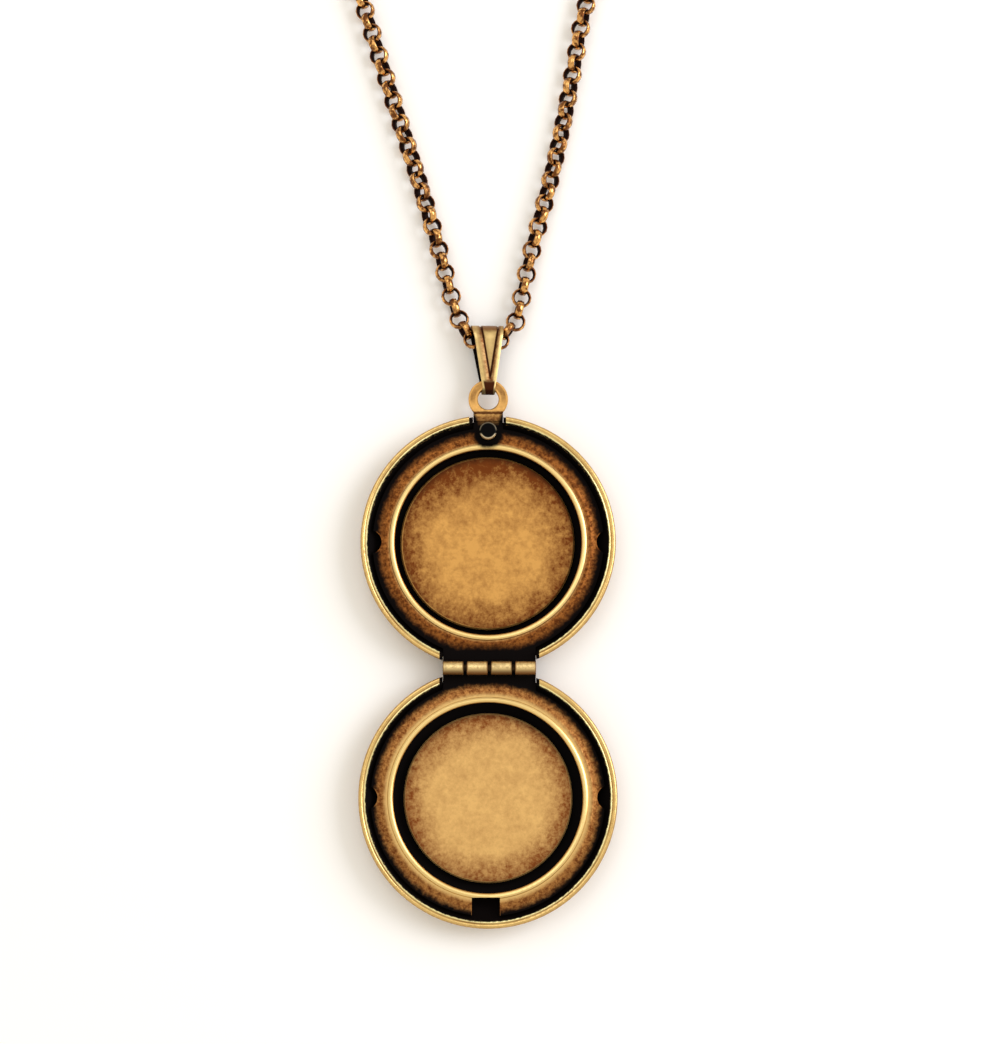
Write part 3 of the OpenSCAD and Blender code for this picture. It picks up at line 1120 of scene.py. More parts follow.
    def loop_zones(self, place: Place) -> tuple[Socket, Socket, Socket]:
        """Marks the loop and its strip, with the brown and the black on them, and the painted shade at
        the strip's sides.

        Args:
            place: A place on the plate.

        Returns:
            The mask of loop and strip, the share of brown and the share of black.
        """
        graph = place.graph
        loop = graph.step(place.y, *self.loop_from)
        neck = graph.edge(place.ragged(place.y, 0.3, scale=1.6), self.neck_y, self.neck_reach)
        crease = graph.step(graph.apart(place.ragged(place.y, 0.2), self.neck_y), *self.crease_r)
        above = graph.highest(graph.minus(place.y, self.side_from), 0.0)
        out = graph.minus(graph.math("ABSOLUTE", place.x), graph.product(above, self.side_slope))
        # Painted shade in the concave corners at the strip's sides.
        sides = graph.product(
            graph.edge(place.ragged(place.y, 0.2), self.neck_y, self.side_reach),
            graph.step(place.ragged(out, 0.25), *self.side_x))
        foot = graph.product(graph.step(place.ragged(place.y, 0.25), *self.foot_y), 0.85)
        off = place.ragged(place.distance(0.0, self.loop_y), 0.1)
        band = graph.product(graph.edge(off, self.hole_r, self.hole_reach),
                             graph.edge(off, self.loop_r, self.loop_reach),
                             graph.step(place.ragged(place.y, 0.5, scale=0.8), *self.band_y))
        brown = graph.highest(graph.product(place.fine, 0.26),
                              graph.product(band, place.ragged(0.55, 0.6, scale=0.9, shift=3.0)),
                              graph.product(neck, place.by_fine((0.6, 0.95))),
                              graph.product(crease, 0.95))
        return loop, brown, graph.highest(sides, foot, graph.product(crease, 0.25))


@dataclass
class PhotoDisc(HalfPiece):
    """The tumbled flat disc: sandy in the middle, browner towards its edge.

    Attributes:
        top: Height of the disc's face.
        drift: How far the wide and the small patches move the ring of brown.
        drift_mean: The usual sum of the two.
        ring_end: Share of the disc's radius where that ring is full.
        ring_film: Share of the film there.
        upper_y: Where the browner upper part begins.
        upper_film: Share of the film there.
        film: Share of the film anywhere.
        fine_film: Greatest share that the small patches add.
        speck_film: Share of the specks' brown, from the middle to the ring.
        border: Where the brown line inside the edge begins.
        border_film: Share of the film there.
        worn_reach: Where the worn line on the edge begins.
        worn_z: The same, from the face.
        worn_share: Share of the film that is worn off there.
        below_z: Where the black below the face begins.
        rim_reach: Where the black outside the edge begins.
        edge_shade_reach: Where the painted shade inside the edge begins.
        edge_shade_share: Share of that painted shade, from the lower to the upper part.
    """

    top: float = 1.6
    drift: Pair = (1.2, 0.4)
    drift_mean: float = 0.8
    ring_end: float = 1.03
    ring_film: Band = (0.6, 0.85)
    upper_y: Band = (-0.5, 10.5)
    upper_film: Band = (0.6, 1.0)
    film: float = 0.1
    fine_film: float = 0.1
    speck_film: Band = (0.06, 0.2)
    border: Band = (-0.95, -0.45)
    border_film: Band = (0.6, 1.0)
    worn_reach: Band = (-0.26, -0.14)
    worn_z: Band = (-0.24, -0.16)
    worn_share: Band = (0.3, 0.9)
    below_z: Band = (-0.12, -0.22)
    rim_reach: Band = (0.1, 0.3)
    # Painted shade just inside the disc's edge, heavier towards the loop.
    edge_shade_reach: Band = (-1.2, 0.2)
    edge_shade_share: Band = (0.3, 0.7)

    def dress(self) -> None:
        """Gives the disc its finish."""
        piece = self.solid("photo_disc")
        finish = AntiqueFinish(piece.name + " brass", tarnish=self.look.disc_tarnish, shine=0.42,
                               dullness=0.5, dents=0.5, grain=1.1, seed=self.look.seed + 4.0)
        wear(piece, finish.material(self.effects, self.zones, self.half.middle))

    def zones(self, place: Place) -> Shading:
        """Shades the disc: a film that grows with the radius, with clouds, specks, black and painted
        shade.

        Args:
            place: A place on the disc.

        Returns:
            The shading there.
        """
        graph, look = place.graph, self.look
        wander = graph.plus(graph.product(place.broad, self.drift[0]),
                            graph.product(place.fine, self.drift[1]))
        ring = graph.step(graph.plus(place.radius, graph.minus(wander, self.drift_mean)),
                          look.disc_edge * look.disc_clear, look.disc_edge * self.ring_end)
        upper = graph.step(place.y, *self.upper_y)
        clouds = place.ragged(place.ragged(self.film, look.disc_mottle, scale=0.55),
                              look.disc_mottle, scale=1.7, shift=9.0)
        film = graph.plus(graph.product(place.fine, self.fine_film), clouds)
        brown = graph.plus(
            graph.plus(film, graph.product(ring, place.by_fine(self.ring_film))),
            graph.product(upper, place.by_broad(self.upper_film), look.upper_brown), clamp=True)
        brown = graph.plus(brown, graph.product(place.specks, graph.blend(ring, *self.speck_film)))
        border = graph.edge(place.ragged(place.radius, 0.25, scale=1.2), look.disc_edge, self.border)
        brown = graph.highest(brown, graph.product(border, place.by_fine(self.border_film),
                                                   look.disc_ring))
        worn = graph.product(graph.edge(place.radius, look.disc_edge, self.worn_reach),
                             graph.edge(place.height, self.top, self.worn_z))
        brown = graph.minus(brown, graph.product(worn, place.by_fine(self.worn_share)), clamp=True)
        return look.disc_gold, brown, self.blackening(place, upper)

    def blackening(self, place: Place, upper: Socket) -> Socket:
        """Marks the black below the face and outside the edge, and the painted shade just inside the
        edge, heavier towards the loop.

        Args:
            place: A place on the disc.
            upper: Mask of the upper part.

        Returns:
            The mask.
        """
        graph, edge = place.graph, self.look.disc_edge
        below = graph.edge(place.height, self.top, self.below_z)
        rim = graph.edge(place.ragged(place.radius, 0.3), edge, self.rim_reach)
        # Painted shade just inside the edge, heavier in the upper part.
        inside = graph.edge(place.ragged(place.radius, 0.7, scale=1.6), edge, self.edge_shade_reach)
        return graph.highest(below, rim,
                             graph.product(inside, graph.blend(upper, *self.edge_shade_share)))


@dataclass
class Case:
    """One half of the case: its cover, its stamped plate and its photo disc.

    Attributes:
        half: The half.
        effects: The shared node groups.
    """

    half: Half
    effects: SharedEffects

    def dress(self) -> None:
        """Gives the half's three pieces their finishes."""
        for kind in (Cover, StampedPlate, PhotoDisc):
            kind(self.half, self.effects).dress()


@dataclass
class CatchStud:
    """The black catch stud, with a painted reflection on its rim towards the hinge and a faint painted
    highlight across from it.

    Attributes:
        effects: The shared node groups.
        finish: Its finish.
        gold: Colour of the painted reflection and highlight on its rim.
        middle: Its place in millimetres.
        radius: Radius of its head.
        top_z: Where its top, which carries the painted reflection and highlight, begins.
        rim_reach: Where the painted reflection, a crescent, begins, from the rim.
        rim_y: Where it begins towards the hinge.
        arc_reach: Where the faint painted highlight, an arc across from it, begins, from the rim.
        arc_y: Where that arc begins.
        film: Share of the brown film.
    """

    effects: SharedEffects
    finish: AntiqueFinish = AntiqueFinish("stud black", tarnish=paint(90, 60, 36),
                                          patina=paint(4, 3, 3), dullness=0.4, seed=7.0)
    gold: Colour = paint(232, 214, 176)
    middle: Point = (0.0, 13.85, 0.0)
    radius: float = 1.1
    top_z: Band = (4.6, 4.8)
    rim_reach: Band = (-0.27, -0.14)
    rim_y: Band = (-0.25, -0.6)
    arc_reach: Band = (-0.2, -0.1)
    arc_y: Band = (-0.1, 0.3)
    film: float = 0.15

    def dress(self) -> None:
        """Gives the stud its finish."""
        wear(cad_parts["catch_stud"],
             self.finish.material(self.effects, self.zones, self.middle))

    def zones(self, place: Place) -> Shading:
        """Shades the stud: black but for the painted reflection and the painted highlight on its rim.

        Args:
            place: A place on the stud.

        Returns:
            The shading there.
        """
        graph = place.graph
        top = graph.step(place.height, *self.top_z)
        # A painted reflection in a crescent on the rim towards the hinge, and a faint painted highlight
        # in an arc across from it.
        crescent = graph.product(graph.edge(place.radius, self.radius, self.rim_reach),
                                 graph.step(place.y, *self.rim_y), top)
        arc = graph.product(graph.edge(place.radius, self.radius, self.arc_reach),
                            graph.step(place.y, *self.arc_y), top)
        # Both are painted light, taken out of the black.
        worn = graph.highest(crescent, graph.product(arc, 0.2))
        return self.gold, self.film, graph.minus(1.0, worn, clamp=True)


@dataclass
class HingePin:
    """The darkened hinge pin.

    Attributes:
        effects: The shared node groups.
        finish: Its finish.
        gold: Colour where it is rubbed bright.
        film: Share of the brown film.
        blackening: Share of the black.
    """

    effects: SharedEffects
    finish: AntiqueFinish = AntiqueFinish("pin black", tarnish=paint(80, 50, 28), dullness=0.5,
                                          seed=8.0)
    gold: Colour = paint(180, 140, 88)
    film: float = 0.6
    blackening: Band = (0.75, 1.0)

    def dress(self) -> None:
        """Gives the pin its finish."""
        wear(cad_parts["hinge_pin"], self.finish.material(self.effects, self.zones))

    def zones(self, place: Place) -> Shading:
        """Mostly black, a little thinner in small patches."""
        return self.gold, self.film, place.by_fine(self.blackening)


@dataclass
class Clasp:
    """The plain clasp, of a coppery gold like the chain's and browner in patches.

    Attributes:
        effects: The shared node groups.
        finish: Its finish.
        gold: Colour where it is rubbed bright.
        middle: Its place in millimetres.
        film: Greatest share of the brown film.
        specks: Greatest share of the black specks.
    """

    effects: SharedEffects
    finish: AntiqueFinish = AntiqueFinish("clasp brass", tarnish=paint(118, 68, 34), shine=0.27,
                                          seed=9.0)
    gold: Colour = paint(214, 164, 104)
    middle: Point = (0.0, 286.0, 0.0)
    film: float = 0.6
    specks: float = 0.5

    def dress(self) -> None:
        """Gives the clasp its finish."""
        wear(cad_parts["clasp"],
             self.finish.material(self.effects, self.zones, self.middle))

    def zones(self, place: Place) -> Shading:
        """Mottled film with a few black specks."""
        graph = place.graph
        return self.gold, graph.product(place.fine, self.film), graph.product(place.specks, self.specks)


@dataclass
class Bail:
    """The tapered strap that hangs the locket on its chain, with two grooves that meet in a V.

    Attributes:
        effects: The shared node groups.
        finish: Its finish.
        gold: Colour of the rubbed metal.
        low_y: Y of the middle of the lower bend.
        low_z: Height of that middle.
        low_r: Outer radius of the lower bend.
        top_y: Y of the middle of the upper bend.
        top_z: Height of that middle.
        top_r: Outer radius of the upper bend.
        split_deg: How far the upper bend runs on below its middle.
        strap: Thickness of the strap.
        top_w: Width at the upper end.
        low_w: Width at the lower end.
        flare: Y where the strap starts to widen and is widest.
        sides: Sides of the cylinder that the strap is made of.
        bevel: Width of the rounding along the edges.
        corner_deg: Least angle of an edge that is rounded.
        smooth_deg: Greatest angle of an edge that is shaded smooth.
        shift: How far the strap lies to the right.
        roll: How far it is rolled about its length, in degrees.
        turn: How far it is turned as seen from above, in degrees.
        front_rise: Height of the front over the line that it rolls about.
        front_from: How far above the lower bend's middle the front starts.
        slack: How far inside the strap's outer face a point still counts as on it: behind the
            front, inside the upper bend and below its middle.
        groove_tops: X of the two grooves at the upper end.
        groove_low: X of the point where they meet.
        groove_y: Y of the grooves' lower and upper ends.
        groove_half: Half a groove's width.
        groove_deep: Its depth.
        front_z: Where the front begins.
        groove_r: Edge of a groove's brown, from its line.
        groove_from: Y where that brown begins.
        between_reach: Where the field between the grooves begins, from their lines.
        beside_r: Where the film beside the lines begins.
        beside_film: Share of that film outside the grooves, from afar to close by.
        between_film: The same between the grooves.
        film: How the small patches change those two.
        flank_in: Where they begin, from the strap's side.
        spread_film: Greatest share of the film anywhere.
        low_end: Y where the brown film and painted shade of the lower end begin, where it bends down
            through the loop.
        low_in: The same, from the strap's side.
        lowest_end: Y where the black painted shade under the lower bend begins.
        bend_y: Where the brown film and painted shade of the upper bend begin.
        bend_film: Share of that brown outside the grooves and between them.
        behind_z: Where the black painted shade behind the front begins.
        groove_soot: Share of black in the grooves.
        low_black_and_shade: Share of black on the lower end, patina and painted shade.
    """

    effects: SharedEffects
    finish: AntiqueFinish = AntiqueFinish("bail brass", tarnish=paint(106, 50, 19), shine=0.33,
                                          grain=0.9, dents=0.2, seed=10.0)
    gold: Colour = paint(240, 208, 138)
    low_y: float = 19.95
    low_z: float = 2.5
    low_r: float = 1.0
    top_y: float = 26.07
    top_z: float = 2.2
    top_r: float = 1.9
    split_deg: float = 7.0
    strap: float = 0.35
    top_w: float = 4.2
    low_w: float = 1.64
    flare: Band = (20.3, 27.97)
    sides: int = 60
    bevel: float = 0.07
    corner_deg: float = 50.0
    smooth_deg: float = 32.0
    shift: float = -0.05
    roll: float = 7.0
    turn: float = 1.0
    front_rise: float = 1.45
    front_from: float = 0.4
    slack: Point = (0.12, 0.05, 0.1)
    groove_tops: Pair = (-0.97, 1.4)
    groove_low: float = 0.12
    groove_y: Pair = (21.05, 28.27)
    groove_half: float = 0.21
    groove_deep: float = 0.17
    front_z: Band = (2.9, 3.3)
    groove_r: Band = (0.19, 0.08)
    groove_from: Band = (20.95, 21.2)
    between_reach: Band = (0.0, 0.12)
    beside_r: Band = (0.9, 0.15)
    beside_film: Band = (0.4, 0.9)
    between_film: Band = (0.2, 0.42)
    film: Band = (0.75, 1.1)
    flank_in: Band = (0.15, 0.45)
    spread_film: float = 0.25
    low_end: Band = (20.8, 20.3)
    low_in: Band = (0.06, 0.2)
    lowest_end: Band = (19.9, 19.3)
    bend_y: Band = (26.4, 27.3)
    bend_film: Band = (0.5, 0.85)
    # Black painted shade behind the front.
    behind_z: Band = (2.5, 1.9)
    groove_soot: float = 0.7
    # Patina and painted shade on the lower end.
    low_black_and_shade: float = 0.66

    @property
    def front_x(self) -> float:
        """X of the middle of the front, which the roll moves aside."""
        return self.shift + math.sin(math.radians(self.roll)) * self.front_rise

    @property
    def tilt(self) -> float:
        """How far the strap's line moves left in each millimetre up."""
        return math.tan(math.radians(self.turn))

    def make(self) -> Piece:
        """Builds the bail and puts it where the solid lies.

        Returns:
            The bail.
        """
        piece = self.make_loop()
        self.taper(piece)
        Bench.modify(piece, "SOLIDIFY", thickness=self.strap, offset=-1.0, use_even_offset=True)
        Bench.modify(piece, "BEVEL", width=self.bevel, segments=2, limit_method="ANGLE",
                     angle_limit=math.radians(self.corner_deg))
        for top in self.groove_tops:
            self.cut_groove(piece, top)
        self.lay(piece)
        wear(piece, self.finish.material(self.effects, self.zones))
        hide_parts("bail")
        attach(piece, Half.BACK.body)
        return piece

    def make_loop(self) -> Piece:
        """Makes the strap's outer face: a cylinder whose lower part is drawn down and made narrow.

        Returns:
            The open band.
        """
        Bench.clear()
        bpy.ops.mesh.primitive_cylinder_add(
            vertices=self.sides, radius=self.top_r, depth=self.top_w, end_fill_type="NOTHING",
            location=(0.0, self.top_y, self.top_z), rotation=(0.0, math.pi / 2, 0.0))
        piece = bpy.context.object
        piece.name = piece.data.name = "bail_strap"
        bpy.ops.object.transform_apply(location=True, rotation=True, scale=True)
        split = self.top_y - self.top_r * math.sin(math.radians(self.split_deg))
        Bench.pick(piece, Pick.POINTS, lambda point: point.co.y < split)
        share = self.low_r / self.top_r
        bpy.ops.transform.resize(value=(1.0, share, share),
                                 center_override=(0.0, self.top_y, self.top_z))
        bpy.ops.transform.translate(
            value=(0.0, self.low_y - self.top_y, self.low_z - self.top_z))
        return piece

    def taper(self, piece: Piece) -> None:
        """Narrows the band towards the loop ring, level by level.

        Args:
            piece: The open band.
        """
        bpy.ops.object.mode_set(mode="OBJECT")
        low, high = self.flare
        for level in sorted({round(point.co.y, 4) for point in piece.data.vertices}):
            share = min(max((level - low) / (high - low), 0.0), 1.0)
            width = self.low_w + (self.top_w - self.low_w) * share
            Bench.pick(piece, Pick.POINTS, lambda point, at=level: abs(point.co.y - at) < NEAR)
            bpy.ops.transform.resize(value=(width / self.top_w, 1.0, 1.0),
                                     center_override=(0.0, level, 0.0))

    def cut_groove(self, piece: Piece, top_x: float) -> None:
        """Cuts one groove: three cuts along it, and the middle one pressed in.

        Args:
            piece: The strap.
            top_x: X of the groove at the top bend.
        """
        low_y, high_y = self.groove_y
        along = Vector((top_x - self.groove_low, high_y - low_y, 0.0)).normalized()
        across = Vector((along.y, -along.x, 0.0))
        start = Vector((self.groove_low, low_y, 0.0))
        for offset in (-self.groove_half, 0.0, self.groove_half):
            Bench.pick(piece, Pick.FACES, self.faces_front)
            bpy.ops.mesh.bisect(plane_co=start + across * offset, plane_no=across,
                                threshold=0.00001)
        Bench.pick(piece, Pick.POINTS, lambda point: abs((point.co - start).dot(across)) < 2 * NEAR
                   and low_y < point.co.y and self.on_front(point.co))
        bpy.ops.transform.shrink_fatten(value=-self.groove_deep)
        bpy.ops.object.mode_set(mode="OBJECT")

    def faces_front(self, face: bpy.types.MeshPolygon) -> bool:
        """Tells whether a face looks up or forward and lies on the strap's front.

        Args:
            face: The face.

        Returns:
            True on the front's outer face.
        """
        return (face.normal.z >= 0.05 or face.normal.y >= 0.9) and self.on_front(face.center)

    def on_front(self, point: Vector) -> bool:
        """Tells whether a place lies on the strap's outer front.

        Args:
            point: The place.

        Returns:
            True on the front's outer face.
        """
        behind, inside, below = self.slack
        if point.y > self.top_y:
            out = math.hypot(point.y - self.top_y, point.z - self.top_z)
            return point.z > self.top_z - below and out > self.top_r - inside
        share = (point.y - self.low_y) / (self.top_y - self.low_y)
        line = self.low_z + self.low_r + share * (self.top_z + self.top_r
                                                  - self.low_z - self.low_r)
        return point.y > self.low_y + self.front_from and point.z > line - behind

    def lay(self, piece: Piece) -> None:
        """Rolls and turns the strap as it lies, and brings it to metres.

        Args:
            piece: The strap.
        """
        pivot = Vector((0.0, self.low_y, self.top_z))
        piece.matrix_world = (Matrix.Translation(Vector((self.shift, self.low_y, self.top_z)))
                              @ Matrix.Rotation(math.radians(self.turn), 4, "Z")
                              @ Matrix.Rotation(math.radians(self.roll), 4, "Y")
                              @ Matrix.Translation(-pivot))
        Bench.to_metres(piece)
        bpy.ops.object.shade_smooth_by_angle(angle=math.radians(self.smooth_deg))
        LOG.info("%s has %d faces", piece.name, len(piece.data.polygons))

    def past_line(self, place: Place, top_x: float) -> Socket:
        """Tells how far a place is to the right of one groove's line, seen from above.

        Args:
            place: A place on the strap.
            top_x: X of the groove at the top bend.

        Returns:
            The distance along X.
        """
        graph = place.graph
        low_y, high_y = self.groove_y
        slope = (top_x - self.groove_low) / (high_y - low_y) - self.tilt
        line = graph.plus(graph.product(graph.minus(place.y, low_y), slope),
                          self.groove_low + self.front_x)
        return graph.minus(place.x, line)

    def inside_edge(self, place: Place) -> Socket:
        """Tells how far a place is from the strap's nearer side.

        Args:
            place: A place on the strap.

        Returns:
            The distance along X.
        """
        graph = place.graph
        low, high = self.flare
        widening = (self.top_w - self.low_w) / 2 / (high - low)
        wide = graph.math("MINIMUM", graph.plus(self.low_w / 2, graph.product(
            graph.minus(place.y, low), widening)), self.top_w / 2)
        off = graph.apart(graph.minus(place.x, self.front_x),
                          graph.product(graph.minus(place.y, self.low_y), -self.tilt))
        return graph.minus(wide, off)

    def zones(self, place: Place) -> Shading:
        """Shades the bail: pale front, brown grooves, worn edges, painted shade on both bends and black
        painted shade behind.

        Args:
            place: A place on the strap.

        Returns:
            The shading there.
        """
        graph = place.graph
        left, right = (self.past_line(place, top) for top in self.groove_tops)
        sizes = [graph.math("ABSOLUTE", side) for side in (left, right)]
        groove = graph.product(
            graph.highest(*(graph.step(size, *self.groove_r) for size in sizes)),
            graph.step(place.height, *self.front_z), graph.step(place.y, *self.groove_from))
        start, end = self.between_reach
        between = graph.product(graph.step(left, start, end), graph.step(right, -start, -end))
        beside = graph.step(graph.math("MINIMUM", *sizes), *self.beside_r)
        film = graph.blend(between, graph.blend(beside, *self.beside_film),
                           graph.blend(beside, *self.between_film))
        within = self.inside_edge(place)
        # Brown film and painted shade where the strap bends down through the loop.
        low = graph.product(graph.step(place.ragged(place.y, 0.2), *self.low_end),
                            graph.step(within, *self.low_in))
        # Brown film and painted shade where the strap bends over at the top.
        bend = graph.step(place.ragged(place.y, 0.3), *self.bend_y)
        brown = graph.highest(
            graph.product(graph.step(within, *self.flank_in), film, place.by_fine(self.film)),
            graph.product(place.fine, self.spread_film),
            graph.product(bend, graph.blend(between, *self.bend_film)), groove, low)
        # Black painted shade under the lower bend and behind the front.
        lowest = graph.product(graph.step(place.ragged(place.y, 0.12), *self.lowest_end), 0.85)
        black = graph.highest(graph.step(place.height, *self.behind_z), lowest,
                              graph.product(groove, self.groove_soot),
                              graph.product(low, self.low_black_and_shade))
        return self.gold, brown, black


@dataclass
class ChainRoute:
    """The line of the chain's middle, in metres.

    Attributes:
        points: The points that the solid's line runs through.
        first: Place of the first link, where the clasp holds it.
        last: Place of the last link.
        parts: Steps in which the curve goes from point to point.
        line: The curve, worked out from the points.
        lengths: Distance along the curve to each of its points.
    """

    points: tuple[Point, ...] = (
        (-0.0098, 0.286, 0.0013), (-0.025, 0.281, 0.0013), (-0.043, 0.268, 0.0013),
        (-0.057, 0.247, 0.0013), (-0.064, 0.222, 0.0013), (-0.064, 0.196, 0.0013),
        (-0.058, 0.170, 0.0013), (-0.048, 0.145, 0.0013), (-0.036, 0.120, 0.0013),
        (-0.026, 0.097, 0.0013), (-0.019, 0.079, 0.0013), (-0.0164, 0.0712, 0.0013),
        (-0.0139, 0.063, 0.0013), (-0.0114, 0.055, 0.0013), (-0.0089, 0.047, 0.0013),
        (-0.0066, 0.039, 0.0013), (-0.0052, 0.0336, 0.0013), (-0.00455, 0.0313, 0.0013),
        (-0.00378, 0.02905, 0.0013), (-0.00305, 0.02795, 0.0017), (-0.00185, 0.02642, 0.0022),
        (-0.00012, 0.02612, 0.00225), (0.00158, 0.02636, 0.00205), (0.00265, 0.02765, 0.00165),
        (0.0035, 0.02875, 0.0013), (0.0041, 0.031, 0.0013), (0.0046, 0.0336, 0.0013),
        (0.0058, 0.039, 0.0013), (0.0079, 0.047, 0.0013),
        (0.0097, 0.055, 0.0013), (0.0112, 0.063, 0.0013), (0.0128, 0.0712, 0.0013),
        (0.0195, 0.097, 0.0013), (0.029, 0.121, 0.0013), (0.040, 0.145, 0.0013),
        (0.050, 0.170, 0.0013), (0.056, 0.196, 0.0013), (0.056, 0.222, 0.0013),
        (0.049, 0.247, 0.0013), (0.035, 0.268, 0.0013), (0.017, 0.281, 0.0013),
        (0.0018, 0.286, 0.0013))
    first: Point = (-0.0095, 0.286, 0.0013)
    last: Point = (0.00125, 0.286, 0.0013)
    parts: int = 30
    line: list[Vector] = field(init=False)
    lengths: list[float] = field(init=False)

    def __post_init__(self) -> None:
        """Works out the curve and its lengths."""
        route = [Vector(point) for point in self.points]
        route = [2 * route[0] - route[1], *route, 2 * route[-1] - route[-2]]
        self.line = [Vector(self.first)]
        for index in range(1, len(route) - 2):
            a, b, c, d = route[index - 1:index + 3]
            for part in range(self.parts):
                t = part / self.parts
                self.line.append(0.5 * (2 * b + (c - a) * t + (2 * a - 5 * b + 4 * c - d) * t * t
                                        + (3 * b - a - 3 * c + d) * t * t * t))
        self.line += [route[-2], Vector(self.last)]
        self.lengths = [0.0]
        for start, end in zip(self.line, self.line[1:]):
            self.lengths.append(self.lengths[-1] + (end - start).length)

    @property
    def length(self) -> float:
        """Length of the line in metres."""
        return self.lengths[-1]

    def at(self, distance: float) -> Vector:
        """Gives the place at a distance along the line.

        Args:
            distance: Distance from the first link in metres.

        Returns:
            The place.
        """
        distance = min(max(distance, 0.0), self.length)
        low, high = 0, len(self.lengths) - 1
        while high - low > 1:
            middle = (low + high) // 2
            low, high = (middle, high) if self.lengths[middle] <= distance else (low, middle)
        share = (distance - self.lengths[low]) / (self.lengths[high] - self.lengths[low])
        return self.line[low].lerp(self.line[high], share)

    def nearest(self, x: float, y: float) -> float:
        """Gives the distance along the line of the point nearest to a place seen from above.

        Args:
            x: X of the place in metres.
            y: Y of the place in metres.

        Returns:
            The distance along the line.
        """
        best = min(range(len(self.line)),
                   key=lambda i: math.hypot(self.line[i].x - x, self.line[i].y - y))
        return self.lengths[best]


@dataclass(frozen=True)
class Settling:
    """How the links in the bail come to clear it: by many small random moves.

    Attributes:
        moves: Number of moves that are tried.
        seed: Which row of random numbers is taken.
        shift: Usual length of a move along each axis in millimetres.
        turn: Usual turn about the link's own length in radians.
        spacing: Least and greatest distance between neighbours in millimetres.
        strain_cost: Cost of each millimetre beyond that, where two faces that cross cost 1.
        strap_cost: Cost of two faces that cross where a link cuts the strap.
        hold: Cost of each millimetre or radian away from the route.
        end_hold: The same for the two links beside the bail, which are in plain view.
        warm: Highest warmth. Moves for the worse are taken more often where it is warm.
        cool: Lowest warmth.
        chance: Greatest chance that a move for the worse is taken.
    """

    moves: int = 6000
    seed: int = 8
    shift: float = 0.03
    turn: float = 0.03
    spacing: Pair = (1.5, 1.72)
    strain_cost: float = 400.0
    strap_cost: float = 8.0
    hold: float = 5.0
    end_hold: float = 25.0
    warm: float = 4.0
    cool: float = 0.01
    chance: float = 0.6


